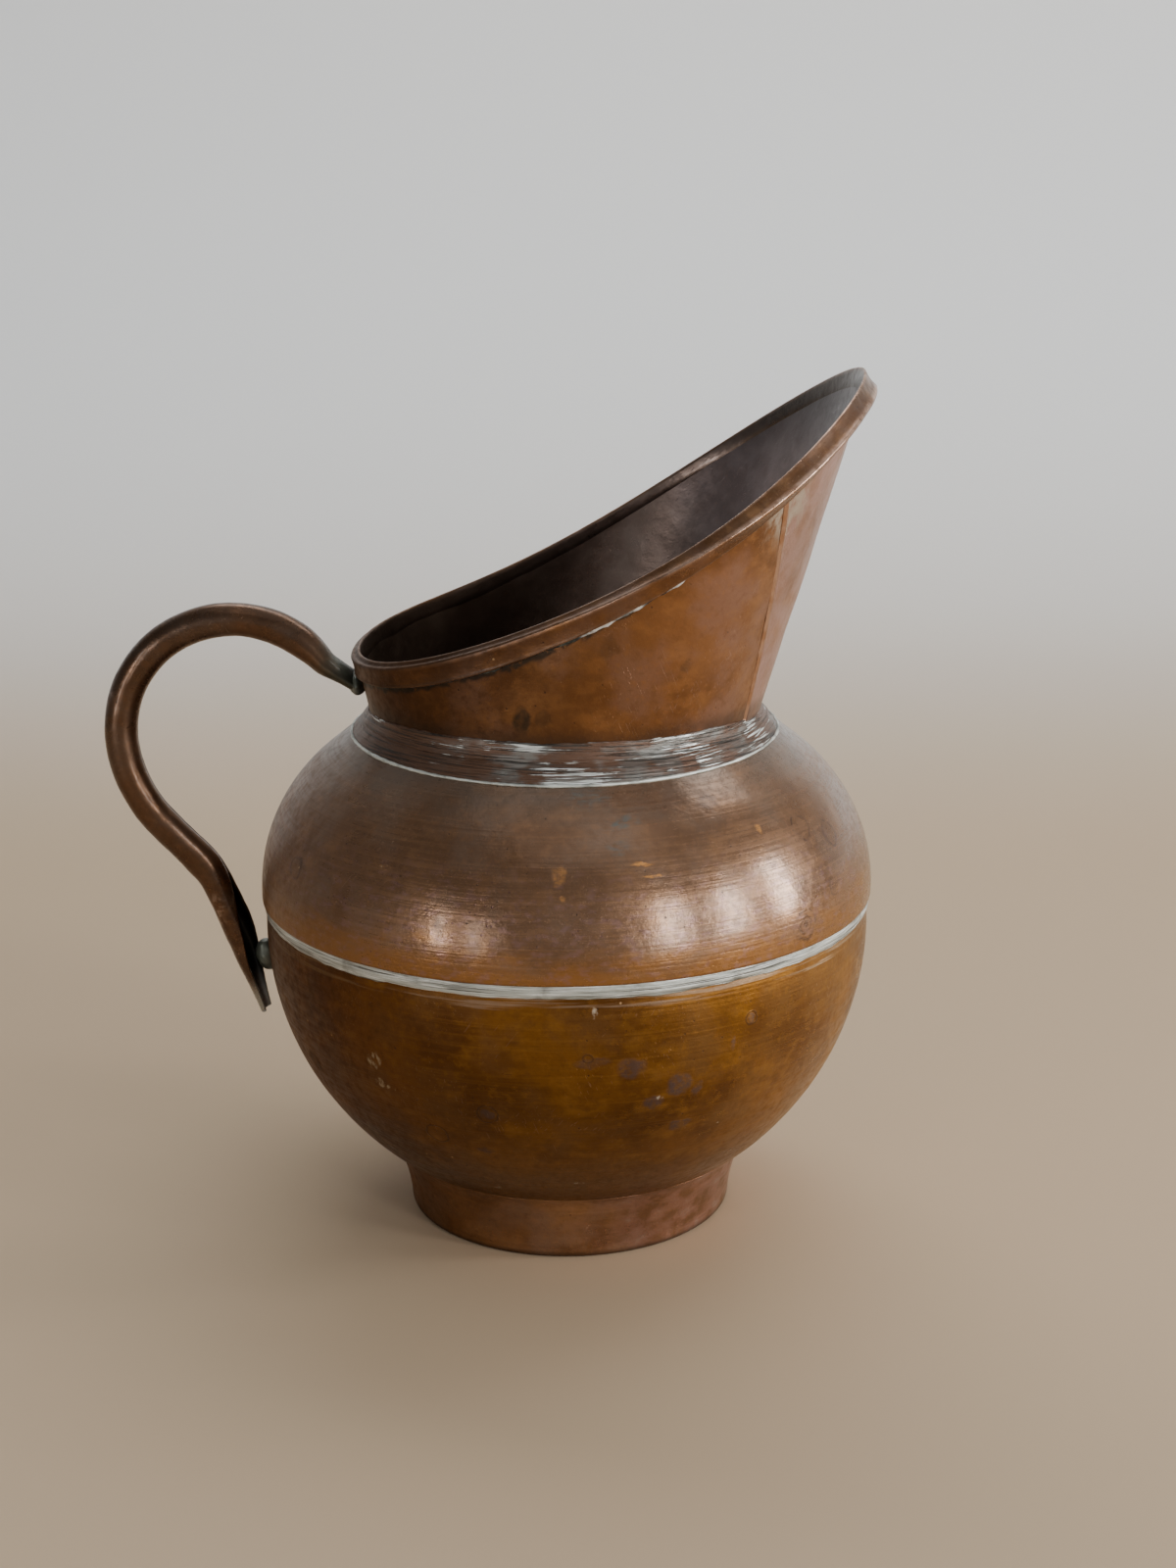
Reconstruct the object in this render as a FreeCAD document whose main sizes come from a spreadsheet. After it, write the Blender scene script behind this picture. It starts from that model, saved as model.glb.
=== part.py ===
"""Copper water jug with a pouring lip, as a parametric document in millimetres.

The origin is the centre of the foot where it rests. +Z is up, +X points to the pouring
lip, the handle is at -X, and Y = 0 is the plane of symmetry.
"""
import FreeCAD, Part
import math
import os
import re
import Sketcher
from FreeCAD import Vector

# Driving dimensions: alias, value in millimetres or degrees, meaning.
DIMENSIONS = (
    ("sheet_thickness", 1.0, "copper sheet of the bowl, dome, collar and neck"),
    ("fit_gap", 0.03, "room left between two pieces that touch"),
    ("foot_bottom_radius", 48.7, "foot ring, outside, where it rests"),
    ("foot_top_radius", 51.2, "foot ring, outside, where it meets the bowl"),
    ("foot_flange_width", 4.0, "edge of the foot ring turned in to rest on"),
    ("bowl_arc_radius", 86.5, "profile arc of the lower bowl"),
    ("bowl_arc_reach", 2.8, "centre of the bowl's profile arc, from the axis"),
    ("bowl_arc_height", 90.0, "centre of the bowl's profile arc, above the foot"),
    ("bowl_floor_height", 11.0, "flat underside of the bowl"),
    ("bowl_lip_height", 104.0, "top edge of the bowl, inside the dome"),
    ("dome_arc_radius", 50.0, "profile arc of the upper dome"),
    ("dome_arc_reach", 40.4, "centre of the dome's profile arc, from the axis"),
    ("dome_arc_height", 101.0, "centre of the dome's profile arc, above the foot"),
    ("dome_edge_height", 99.4, "lower edge of the dome, lapped over the bowl"),
    ("dome_arc_angle", 51.5, "degrees up the arc to where the shoulder runs straight"),
    ("dome_mouth_radius", 57.0, "hole at the top of the dome"),
    ("belly_bead_drop", 3.8, "height of the solder bead under the dome's edge"),
    ("belly_bead_bulge", 0.95, "how far the belly bead stands off the bowl"),
    ("collar_base_radius", 62.45, "collar, outside, where it sits on the dome"),
    ("collar_top_radius", 57.5, "collar, outside, below the neck"),
    ("collar_top_height", 153.1, "shoulder of the collar"),
    ("collar_tuck_height", 4.5, "rim of the collar tucked up inside the neck"),
    ("neck_base_radius", 57.0, "neck, outside, at its round lower edge"),
    ("neck_base_height", 154.2, "lower edge of the neck"),
    ("rim_shift", 13.0, "middle of the rim, forward of the axis"),
    ("rim_half_length", 72.6, "half the rim's length from back to lip"),
    ("rim_half_width", 67.0, "half the rim's mean width"),
    ("rim_squareness", 4.5, "how much the rim's sides are drawn in"),
    ("rim_front_taper", 5.5, "how much the rim narrows to the lip"),
    ("rim_mid_height", 199.2, "height of the rim at its middle"),
    ("rim_rise", 38.9, "rise of the rim from its middle to the lip"),
    ("rim_sag", 12.2, "hollow of the rim line seen from the side"),
    ("binding_thickness", 0.9, "sheet of the rolled rim binding"),
    ("binding_width", 4.2, "rim binding, outward from its crest"),
    ("binding_height", 7.0, "rim binding, from crest to lower edge"),
    ("wire_radius", 1.0, "stiffening wire inside the rim binding"),
    ("wire_drop", 4.3, "middle of the wire, below the rim's crest"),
    ("lap_base_angle", 28.0, "lap edge of the neck sheet, degrees off the lip, at its foot"),
    ("lap_base_span", 40.0, "degrees that the lap spans at its foot"),
    ("handle_arc_radius", 33.6, "large bend of the handle, along its axis"),
    ("handle_arc_reach", 96.5, "centre of the large bend, behind the axis"),
    ("handle_arc_height", 146.4, "centre of the large bend, above the foot"),
    ("handle_lower_radius", 40.4, "lower part of the large bend, which opens out a little"),
    ("handle_root_gap", 3.05, "room between the neck and the upper end of the handle"),
    ("handle_root_slope", 32.0, "degrees that the handle rises from the neck"),
    ("handle_root_radius", 10.0, "small bend between the neck and the large bend"),
    ("handle_root_pinch", 0.5, "depth of the pinched upper end, as a share of the tube"),
    ("handle_pinch_length", 22.0, "length over which the pinched end grows round"),
    ("handle_first_angle", 40.0, "degrees on the large bend where it starts"),
    ("handle_last_angle", 222.0, "degrees on the large bend where it runs straight"),
    ("handle_straight", 18.0, "straight run below the large bend"),
    ("handle_bend_radius", 25.0, "lower bend of the handle, along its axis"),
    ("handle_bend_angle", 20.6, "degrees of the lower bend"),
    ("handle_leaf_length", 40.2, "straight run at the foot of the handle"),
    ("handle_open_length", 48.0, "length over which the seam opens into a leaf"),
    ("handle_leaf_twist", 17.0, "degrees that the leaf is twisted to one side"),
    ("handle_radius", 4.9, "outside of the handle tube"),
    ("handle_sheet", 0.8, "sheet that the handle tube is rolled from"),
    ("lump_low_height", 73.0, "lower end of the solder between leaf and bowl"),
    ("lump_high_height", 82.5, "upper end of the solder between leaf and bowl"),
)

doc = FreeCAD.newDocument("copper_jug")
sheet = doc.addObject("Spreadsheet::Sheet", "Sizes")
for row, (alias, number, meaning) in enumerate(DIMENSIONS, start=1):
    sheet.set(f"A{row}", meaning)
    sheet.set(f"B{row}", str(number))
    sheet.setAlias(f"B{row}", alias)
doc.recompute()


def bound(text):
    """An expression with every alias, which all hold an underscore, read from the sheet."""
    return re.sub(r"\b[a-z]+(_[a-z]+)+\b", r"Sizes.\g<0>", text)


def size(text):
    """The number that an expression of aliases has now."""
    return float(sheet.evalExpression(bound(text)))


# ---- pieces turned about the vertical axis -------------------------------------------


def arc_between(start, end, radius, bulge):
    """A short arc that swells to the left (+1) or right (-1) of the way, and its end numbers."""
    chord = end - start
    left = Vector(-chord.y, chord.x, 0).normalize()
    depth = math.sqrt(radius**2 - (chord.Length / 2) ** 2)
    centre = start + chord * 0.5 - left * (bulge * depth)
    first = math.atan2(start.y - centre.y, start.x - centre.x)
    last = math.atan2(end.y - centre.y, end.x - centre.x)
    circle = Part.Circle(centre, Vector(0, 0, 1), radius)
    if bulge < 0:
        return Part.ArcOfCircle(circle, first, last), 1, 2
    return Part.ArcOfCircle(circle, last, first), 2, 1


def upright_plane(body):
    """The XZ plane of a body's own origin."""
    return next(f for f in body.Origin.OriginFeatures if f.Role == "XZ_Plane")


def outline(body, corners):
    """A closed sketch in the XZ plane. A corner is (radius, height, edge to the next corner)."""
    sketch = body.newObject("Sketcher::SketchObject", body.Name + "_outline")
    sketch.AttachmentSupport = (upright_plane(body), [""])
    sketch.MapMode = "FlatFace"
    places = [Vector(size(across), size(up), 0) for across, up, _ in corners]
    edges = []
    for number, (_, _, arc) in enumerate(corners):
        start = places[number]
        end = places[(number + 1) % len(places)]
        if arc is None:
            edges.append((sketch.addGeometry(Part.LineSegment(start, end)), 1, 2))
        else:
            shape, first, last = arc_between(start, end, size(arc[0]), arc[1])
            edges.append((sketch.addGeometry(shape), first, last))
    for number, (edge, _, last) in enumerate(edges):
        after, first, _ = edges[(number + 1) % len(edges)]
        sketch.addConstraint(Sketcher.Constraint("Coincident", edge, last, after, first))
    for (across, up, arc), (edge, first, _), place in zip(corners, edges, places):
        for kind, value, text in (("DistanceX", place.x, across), ("DistanceY", place.y, up)):
            index = sketch.addConstraint(Sketcher.Constraint(kind, -1, 1, edge, first, value))
            sketch.setExpression(f"Constraints[{index}]", bound(text))
        if arc is not None:
            index = sketch.addConstraint(Sketcher.Constraint("Radius", edge, size(arc[0])))
            sketch.setExpression(f"Constraints[{index}]", bound(arc[0]))
    return sketch


def turned(label, corners, degrees=360.0):
    """A body made by turning an outline about the vertical axis, evenly about its plane."""
    body = doc.addObject("PartDesign::Body", label)
    sketch = outline(body, corners)
    turn = body.newObject("PartDesign::Revolution", label + "_turn")
    turn.Profile = sketch
    turn.ReferenceAxis = (sketch, ["V_Axis"])
    turn.Angle = degrees
    turn.Midplane = True
    body.Tip = turn
    return body


def bowl_height(radius, gap="0"):
    """Height of the lower bowl's outside at a radius, moved outward by a gap."""
    return f"bowl_arc_height - sqrt((bowl_arc_radius + {gap})^2 - ({radius} - bowl_arc_reach)^2)"


def bowl_radius(height, gap="0"):
    """Radius of the lower bowl's outside at a height, moved outward by a gap."""
    return f"bowl_arc_reach + sqrt((bowl_arc_radius + {gap})^2 - ({height} - bowl_arc_height)^2)"


def shoulder_height(radius, gap="0"):
    """Height of the dome's straight shoulder at a radius, moved outward by a gap."""
    slope = "tan(90 - dome_arc_angle)"
    along = f"(dome_arc_reach + (dome_arc_radius + {gap}) * cos(dome_arc_angle) - ({radius}))"
    return f"dome_arc_height + (dome_arc_radius + {gap}) * sin(dome_arc_angle) + {along} * {slope}"


def make_lower_bowl():
    """The raised bowl, a single arc from its flat floor up to a lip inside the dome."""
    floor_radius = bowl_radius("bowl_floor_height")
    inner_floor = "bowl_floor_height + sheet_thickness"
    inner_lip = bowl_radius("bowl_lip_height", "0 - sheet_thickness")
    inner_corner = bowl_radius(inner_floor, "0 - sheet_thickness")
    return turned("lower_bowl", (
        ("0", "bowl_floor_height", None),
        (floor_radius, "bowl_floor_height", ("bowl_arc_radius", -1)),
        (bowl_radius("bowl_lip_height"), "bowl_lip_height", None),
        (inner_lip, "bowl_lip_height", ("bowl_arc_radius - sheet_thickness", 1)),
        (inner_corner, inner_floor, None),
        ("0", inner_floor, None),
    ))


def make_upper_bowl():
    """The dome that closes the belly: a lapped edge, a round shoulder and a straight run."""
    inner = "dome_arc_radius - sheet_thickness"
    edge_drop = "(dome_edge_height - dome_arc_height)^2"
    return turned("upper_bowl", (
        (f"dome_arc_reach + sqrt(dome_arc_radius^2 - {edge_drop})", "dome_edge_height",
         ("dome_arc_radius", -1)),
        ("dome_arc_reach + dome_arc_radius * cos(dome_arc_angle)",
         "dome_arc_height + dome_arc_radius * sin(dome_arc_angle)", None),
        ("dome_mouth_radius", shoulder_height("dome_mouth_radius"), None),
        ("dome_mouth_radius", shoulder_height("dome_mouth_radius", "0 - sheet_thickness"), None),
        (f"dome_arc_reach + ({inner}) * cos(dome_arc_angle)",
         f"dome_arc_height + ({inner}) * sin(dome_arc_angle)", (inner, 1)),
        (f"dome_arc_reach + sqrt(({inner})^2 - {edge_drop})", "dome_edge_height", None),
    ))


def make_belly_seam_solder():
    """The bead under the dome's edge, with a tongue drawn up into the lap."""
    bead_top = "dome_edge_height - fit_gap"
    bead_foot = "dome_edge_height - belly_bead_drop"
    bead_middle = "dome_edge_height - belly_bead_drop / 2"
    tongue_top = "dome_edge_height + 2 * sheet_thickness"
    lap_inside = "dome_arc_reach + dome_arc_radius - sheet_thickness - 3 * fit_gap"
    face = "bowl_arc_radius + fit_gap"
    return turned("belly_seam_solder", (
        (bowl_radius(bead_foot, "fit_gap"), bead_foot, None),
        (bowl_radius(bead_middle, "belly_bead_bulge"), bead_middle, None),
        (bowl_radius(bead_top, "belly_bead_bulge"), bead_top, None),
        (lap_inside, bead_top, None),
        (lap_inside, tongue_top, None),
        (bowl_radius(tongue_top, "fit_gap"), tongue_top, (face, 1)),
    ))


def make_foot_ring():
    """The tapered foot band, its lower edge turned in as a flat flange."""
    inside_top = "foot_top_radius - sheet_thickness"
    inside_bottom = "foot_bottom_radius - sheet_thickness"
    face = "bowl_arc_radius + fit_gap"
    return turned("foot_ring", (
        ("foot_bottom_radius - foot_flange_width", "0", None),
        ("foot_bottom_radius - sheet_thickness / 2", "0", None),
        ("foot_bottom_radius", "sheet_thickness / 2", None),
        ("foot_top_radius", bowl_height("foot_top_radius", "fit_gap"), (face, -1)),
        (inside_top, bowl_height(inside_top, "fit_gap"), None),
        (inside_bottom, "1.2 * sheet_thickness", None),
        ("foot_bottom_radius - foot_flange_width", "1.2 * sheet_thickness", None),
    ))


def make_foot_solder():
    """The fillet of solder inside the foot, between the band and the bowl."""
    band_side = "foot_top_radius - sheet_thickness - 0.1"
    bowl_side = "foot_top_radius - 4 * sheet_thickness"
    low_side = "foot_top_radius - 1.6 * sheet_thickness"
    face = "bowl_arc_radius + fit_gap"
    return turned("foot_solder", (
        (low_side, bowl_height(band_side, "fit_gap") + " - 3 * sheet_thickness", None),
        (band_side, bowl_height(band_side, "fit_gap"), (face, -1)),
        (bowl_side, bowl_height(bowl_side, "fit_gap"), None),
    ))


def make_neck_collar():
    """The flat cone of a band on the dome, thin at its edge, its rim tucked inside the neck."""
    tuck_outer = "neck_base_radius - 1.4 * sheet_thickness"
    tuck_inner = "neck_base_radius - 2.3 * sheet_thickness"
    tuck_top = "collar_top_height + collar_tuck_height"
    inside_base = "collar_base_radius - 2.5 * sheet_thickness"
    return turned("neck_collar", (
        ("collar_base_radius", shoulder_height("collar_base_radius", "fit_gap"), None),
        ("collar_top_radius", "collar_top_height", None),
        (tuck_outer, "collar_top_height + 0.4 * sheet_thickness", None),
        (tuck_outer, tuck_top, None),
        (tuck_inner, tuck_top, None),
        (tuck_inner, "collar_top_height - 0.3 * sheet_thickness", None),
        ("collar_top_radius - 0.9 * sheet_thickness", "collar_top_height - 0.8 * sheet_thickness",
         None),
        (inside_base, shoulder_height(inside_base, "fit_gap"), None),
    ))


def make_collar_lower_solder():
    """A thin fillet of solder round the collar's lower edge."""
    near = "collar_base_radius + 2 * fit_gap"
    far = "collar_base_radius + 1.2 * sheet_thickness"
    top = shoulder_height("collar_base_radius") + " + 0.9 * sheet_thickness"
    return turned("collar_lower_solder", (
        (near, shoulder_height(near, "fit_gap"), None),
        (far, shoulder_height(far, "fit_gap"), None),
        (near, top, None),
    ))


def make_collar_upper_solder():
    """The ring of solder in the joint between the collar's shoulder and the neck."""
    inner = "neck_base_radius - 1.2 * sheet_thickness"
    bulge = "collar_top_radius + 0.8 * sheet_thickness"
    top = "neck_base_height - fit_gap"
    return turned("collar_upper_solder", (
        (inner, "collar_top_height + 0.45 * sheet_thickness", None),
        ("collar_top_radius", "collar_top_height + 2 * fit_gap", None),
        (bulge, "collar_top_height + 0.5 * sheet_thickness", None),
        ("collar_top_radius + 0.5 * sheet_thickness", top, None),
        (inner, top, None),
    ))


def turned_to_back(body):
    """Turns a piece drawn on the lip's side round to the handle's side."""
    body.Placement = FreeCAD.Placement(Vector(), FreeCAD.Rotation(Vector(0, 0, 1), 180))
    return body


def make_handle_foot_solder():
    """The lump of solder that holds the handle's leaf to the bowl, just under the belly."""
    low, high = "lump_low_height", "lump_high_height"
    below_middle = "(lump_low_height + 2 * sheet_thickness)"
    above_middle = "(lump_low_height + 6 * sheet_thickness)"
    face = "bowl_arc_radius + fit_gap"
    return turned_to_back(turned("handle_foot_solder", (
        (bowl_radius(low, "fit_gap"), low, (face, -1)),
        (bowl_radius(high, "fit_gap"), high, None),
        (bowl_radius(high, "2.5 * sheet_thickness"), high, None),
        (bowl_radius(above_middle, "5.1 * sheet_thickness"), above_middle, None),
        (bowl_radius(below_middle, "4.9 * sheet_thickness"), below_middle, None),
        (bowl_radius(low, "3.6 * sheet_thickness"), low, None),
    ), 6.0))


# ---- neck and rim, which follow the curved rim line ----------------------------------

RIM_STEPS = 72
# The way the lap's edge runs up the neck, and how much shorter the lapped layer is.
LAP_SLANT = Vector(0.105, -0.37, 1.0)
LAP_LOW_TRIM, LAP_HIGH_TRIM = 0.4, 6.0


def base_point(angle, inset=0.0):
    """A point of the neck's round lower edge, moved in by an inset."""
    radius = size("neck_base_radius") - inset
    height = size("neck_base_height")
    return Vector(radius * math.cos(angle), radius * math.sin(angle), height)


def rim_point(angle):
    """A point of the rim's crest line, 0 at the lip and pi at the handle."""
    along = math.cos(angle)
    width = RIM["rim_half_width"] + RIM["rim_squareness"] * math.cos(2 * angle)
    width -= RIM["rim_front_taper"] * math.cos(3 * angle)
    height = RIM["rim_mid_height"] + RIM["rim_rise"] * along + RIM["rim_sag"] * along**2
    across = math.sin(angle) * width
    return Vector(RIM["rim_shift"] + RIM["rim_half_length"] * along, across, height)


def rim_section(angle, out, up):
    """A point in the rim's cross-section: out from the crest, and up along the leaning wall."""
    step = 0.001
    crest = rim_point(angle)
    way = rim_point(angle + step) - rim_point(angle - step)
    lean = (crest - base_point(angle, size("sheet_thickness"))).normalize()
    outward = Vector(way.y, -way.x, 0).normalize()
    outward = (outward - lean * outward.dot(lean)).normalize()
    return crest + outward * out + lean * up


def closed_edge(place):
    """A smooth closed edge through the points that a function gives for equal angle steps."""
    curve = Part.BSplineCurve()
    angles = [2 * math.pi * step / RIM_STEPS for step in range(RIM_STEPS)]
    fractions = [step / RIM_STEPS for step in range(RIM_STEPS + 1)]
    points = [place(angle) for angle in angles]
    curve.interpolate(Points=points, PeriodicFlag=True, Parameters=fractions)
    return curve.toShape()


def ring_solid(places):
    """A closed ring whose cross-section has one corner for each function of the angle."""
    edges = [closed_edge(place) for place in places]
    faces = [Part.makeRuledSurface(a, b) for a, b in zip(edges, edges[1:] + edges[:1])]
    shell = Part.Shell(faces)
    shell.sewShape()
    solid = Part.Solid(Part.Shell(shell.Faces))
    if solid.Volume < 0:
        solid.reverse()
    return solid


def rim_ring(corners):
    """A ring along the rim with a polygon of (out, up) corners as its cross-section."""
    return ring_solid([
        lambda angle, out=out, up=up: rim_section(angle, out, up) for out, up in corners
    ])


def wall_ring(inside, outside, low_trim=0.0, high_trim=0.0):
    """A ring of the neck's wall between two offsets from its inner face."""
    sheet_now = size("sheet_thickness")
    top = -2 * size("binding_thickness") - high_trim

    def low_edge(offset):
        return lambda angle: base_point(angle, sheet_now - offset) + Vector(0, 0, low_trim)

    def high_edge(offset):
        return lambda angle: rim_section(angle, offset, top)

    return ring_solid([low_edge(outside), high_edge(outside), high_edge(inside), low_edge(inside)])


def lap_prism(first_angle, last_angle):
    """A slanted prism that cuts the lap out of a ring: angles are degrees off the lip."""
    below = 20
    slant = LAP_SLANT * (size("rim_mid_height") - below)
    reach = 2 * size("neck_base_radius")
    centre = Vector(0, 0, size("neck_base_height")) - LAP_SLANT * below
    corners = [centre]
    for degrees in (first_angle, (first_angle + last_angle) / 2, last_angle):
        angle = math.radians(degrees)
        corners.append(centre + Vector(math.cos(angle), math.sin(angle), 0) * reach)
    return Part.Face(Part.makePolygon(corners + corners[:1])).extrude(slant)


def make_neck_funnel():
    """The neck: a sheet wrapped into a leaning cone, lapped over itself at the lip's side."""
    sheet_now = size("sheet_thickness")
    wall = wall_ring(0.0, sheet_now)
    outer_layer = wall_ring(0.7 * sheet_now, 1.95 * sheet_now, LAP_LOW_TRIM, LAP_HIGH_TRIM)
    first = -size("lap_base_angle")
    lap = outer_layer.common(lap_prism(first, first + size("lap_base_span")))
    return shaped("neck_funnel", wall.fuse(lap))


def make_neck_seam_solder():
    """The thread of solder along the visible edge of the lap."""
    sheet_now = size("sheet_thickness")
    trim = 0.1
    thread = wall_ring(1.1 * sheet_now, 1.7 * sheet_now, LAP_LOW_TRIM + trim, LAP_HIGH_TRIM + trim)
    lap_edge = -size("lap_base_angle")
    far_edge, near_edge = lap_edge - 1.2, lap_edge - 0.1
    return shaped("neck_seam_solder", thread.common(lap_prism(far_edge, near_edge)))


def make_rim_binding():
    """The strip folded over the neck's edge and rolled round the wire."""
    sheet_now = size("binding_thickness")
    out = size("binding_width")
    drop = size("binding_height")
    gap = 3 * size("fit_gap")
    outside = [
        (-sheet_now - gap, 1 - drop), (-sheet_now - gap, -sheet_now), (-0.3, 0.0), (0.8, -0.2),
        (out - 1.1, -1.9), (out - 0.2, -3.0), (out, -4.2), (out - 0.3, 1.2 - drop),
        (out - 1.4, -drop),
    ]
    inside = [
        (out - 1.6, sheet_now - drop), (out - sheet_now - 0.1, 1.9 - drop),
        (out - sheet_now, -4.2), (out - 1.4, -2.8), (0.5, -1.15), (-gap, -1.3), (-gap, 1 - drop),
    ]
    return shaped("rim_binding", rim_ring(outside + inside))


def make_rim_wire():
    """The stiffening wire hidden in the rolled rim."""
    sides = 12
    radius = size("wire_radius")
    middle = size("sheet_thickness") + radius + 3 * size("fit_gap")
    corners = []
    for side in range(sides):
        turn = 2 * math.pi * side / sides
        corners.append((middle + radius * math.cos(turn),
                        radius * math.sin(turn) - size("wire_drop")))
    return shaped("rim_wire", rim_ring(corners))


def make_rim_solder():
    """The solder under the roll, between the binding's lower edge and the wall."""
    drop = size("binding_height")
    near = size("sheet_thickness") + 0.04
    lip = size("binding_width") - 2.0

    lap_room = size("sheet_thickness")
    lap_from, lap_to, fade = -70.0, 32.0, 12.0

    def behind_lap(angle):
        """How far the solder stays clear of the lapped layer near the lip."""
        turn = math.degrees(math.remainder(angle, 2 * math.pi))
        start = min(1.0, max(0.0, (turn - lap_from) / fade))
        end = min(1.0, max(0.0, (lap_to - turn) / fade))
        return lap_room * start * end

    def corner(out, up, follow):
        return lambda angle: rim_section(angle, out + follow * behind_lap(angle), up)

    return shaped("rim_solder", ring_solid([
        corner(near, 0.25 - drop, 1), corner(near, -drop - 0.9, 1),
        corner(lip + 0.2, -drop - 0.15, 0), corner(lip, 0.75 - drop, 0),
    ]))


# ---- handle --------------------------------------------------------------------------


def turned_in_plane(vector, angle):
    """A vector turned in the XZ plane, from +X towards +Z."""
    across = vector.x * math.cos(angle) - vector.z * math.sin(angle)
    return Vector(across, 0, vector.x * math.sin(angle) + vector.z * math.cos(angle))


def handle_runs():
    """The handle's axis from the neck down, as (length, degrees turned to the left) runs."""
    first = size("handle_first_angle")
    root_turn = 90 + first - (180 - size("handle_root_slope"))
    upper_sweep = 180 - first
    lower_sweep = size("handle_last_angle") - 180
    lower = size("handle_bend_angle")
    return (
        (size("handle_root_radius") * math.radians(abs(root_turn)), root_turn),
        (size("handle_arc_radius") * math.radians(upper_sweep), upper_sweep),
        (size("handle_lower_radius") * math.radians(lower_sweep), lower_sweep),
        (size("handle_straight"), 0.0),
        (size("handle_bend_radius") * math.radians(lower), -lower),
        (size("handle_leaf_length"), 0.0),
    )


def handle_root():
    """The upper end of the handle's axis, and the length of the straight stub that starts it."""
    slope = math.radians(size("handle_root_slope"))
    first = math.radians(size("handle_first_angle"))
    arc_start = Vector(size("handle_arc_radius") * math.cos(first) - size("handle_arc_reach"), 0,
                       size("handle_arc_radius") * math.sin(first) + size("handle_arc_height"))
    steep = math.pi / 2 - first
    bend = Vector(math.sin(slope) - math.sin(steep), 0, math.cos(slope) - math.cos(steep))
    bend_start = arc_start - bend * size("handle_root_radius")
    reach = size("neck_base_radius") + size("sheet_thickness") + size("handle_root_gap")
    lead = (-reach - bend_start.x) / math.cos(slope)
    return Vector(-reach, 0, bend_start.z - lead * math.sin(slope)), lead


def handle_station(distance):
    """The handle's axis at a distance from its upper end: place and outward direction."""
    root, lead = handle_root()
    slope = math.radians(size("handle_root_slope"))
    onward = Vector(-math.cos(slope), 0, math.sin(slope))
    place = root + onward * min(distance, lead)
    left = distance - lead
    for length, degrees in handle_runs():
        if left <= 0:
            break
        used = min(left, length)
        if degrees == 0.0:
            place = place + onward * used
        else:
            angle = math.radians(degrees) * used / length
            radius = length / math.radians(degrees)
            spoke = turned_in_plane(onward, math.pi / 2) * radius
            place = place + spoke - turned_in_plane(spoke, angle)
            onward = turned_in_plane(onward, angle)
        left -= length
    return place, turned_in_plane(onward, -math.pi / 2)


def handle_length():
    """The whole length of the handle's axis."""
    return handle_root()[1] + sum(length for length, _ in handle_runs())


def eased(fraction):
    """A smooth step from 0 to 1."""
    held = min(1.0, max(0.0, fraction))
    return held * held * (3 - 2 * held)


def handle_wire(distance):
    """The cross-section at a distance: a tube with a seam that opens into a shallow leaf."""
    place, outward = handle_station(distance)
    leaf = 1 - (handle_length() - distance) / size("handle_open_length")
    share = size("handle_root_pinch")
    pinch = share + (1 - share) * eased(distance / size("handle_pinch_length"))
    deep = size("handle_radius") * pinch * (1 - 0.52 * eased((leaf - 0.25) / 0.75))
    wide = size("handle_radius") * (2 - pinch) * (1 + 0.2 * eased(leaf / 0.5))
    wide *= 1 - 0.55 * eased((leaf - 0.55) / 0.45)
    spread = math.radians(176 - 66 * eased(leaf / 0.6) - 25 * eased((leaf - 0.5) / 0.5))
    root = place + outward * size("handle_radius") * pinch
    wall = size("handle_sheet")
    twist = math.radians(size("handle_leaf_twist")) * eased((leaf + 0.05) / 0.3)

    def arc(depth, width):
        curve = Part.BSplineCurve()
        points = []
        for step in range(17):
            turn = spread * (step / 8.0 - 1)
            high = depth * math.cos(turn)
            aside = width * math.sin(turn)
            across = high * math.cos(twist) - aside * math.sin(twist) - deep
            along_y = high * math.sin(twist) + aside * math.cos(twist)
            points.append(root + outward * across + Vector(0, along_y, 0))
        curve.interpolate(points)
        return curve.toShape()

    outer = arc(deep, wide)
    inner = arc(deep - wall, wide - wall)
    first = Part.LineSegment(outer.Vertexes[0].Point, inner.Vertexes[0].Point).toShape()
    last = Part.LineSegment(outer.Vertexes[-1].Point, inner.Vertexes[-1].Point).toShape()
    return Part.Wire(Part.sortEdges([outer, last, inner, first])[0])


def make_handle_tube():
    """The rolled copper tube, open along its inner side towards the free leaf at its foot."""
    steps = 40
    length = handle_length()
    wires = [handle_wire(length * step / steps) for step in range(steps + 1)]
    return shaped("handle_tube", Part.makeLoft(wires, True, False))


def make_handle_top_solder():
    """The collar of solder round the handle's upper end, against the neck and under the rim."""
    root, _ = handle_root()
    room = size("fit_gap") * 8
    wide = size("handle_radius") * (2 - size("handle_root_pinch"))
    deep = size("handle_radius") * size("handle_root_pinch")
    margin = size("handle_sheet") * 1.7
    lump = Part.makeSphere(1.0)
    squeeze = FreeCAD.Matrix()
    squeeze.scale(size("handle_root_gap"), wide + margin, deep + margin)
    lump = lump.transformGeometry(squeeze)
    lump.translate(root)
    bore = Part.makeCylinder(1.0, 4 * wide, Vector(0, 0, -2 * wide))
    oval = FreeCAD.Matrix()
    oval.scale(deep + 2 * room, wide + room, 1.0)
    bore = bore.transformGeometry(oval)
    bore.rotate(Vector(), Vector(0, 1, 0), 90 + size("handle_root_slope"))
    bore.translate(root)
    wall = wall_ring(-2 * wide, size("sheet_thickness") + size("fit_gap"))
    block = 4 * wide
    roof = Part.makeBox(block, block, block, Vector(root.x - block / 2, -block / 2, root.z + deep))
    return shaped("handle_top_solder", lump.cut([bore, wall, roof]))


# ---- document ------------------------------------------------------------------------


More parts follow.
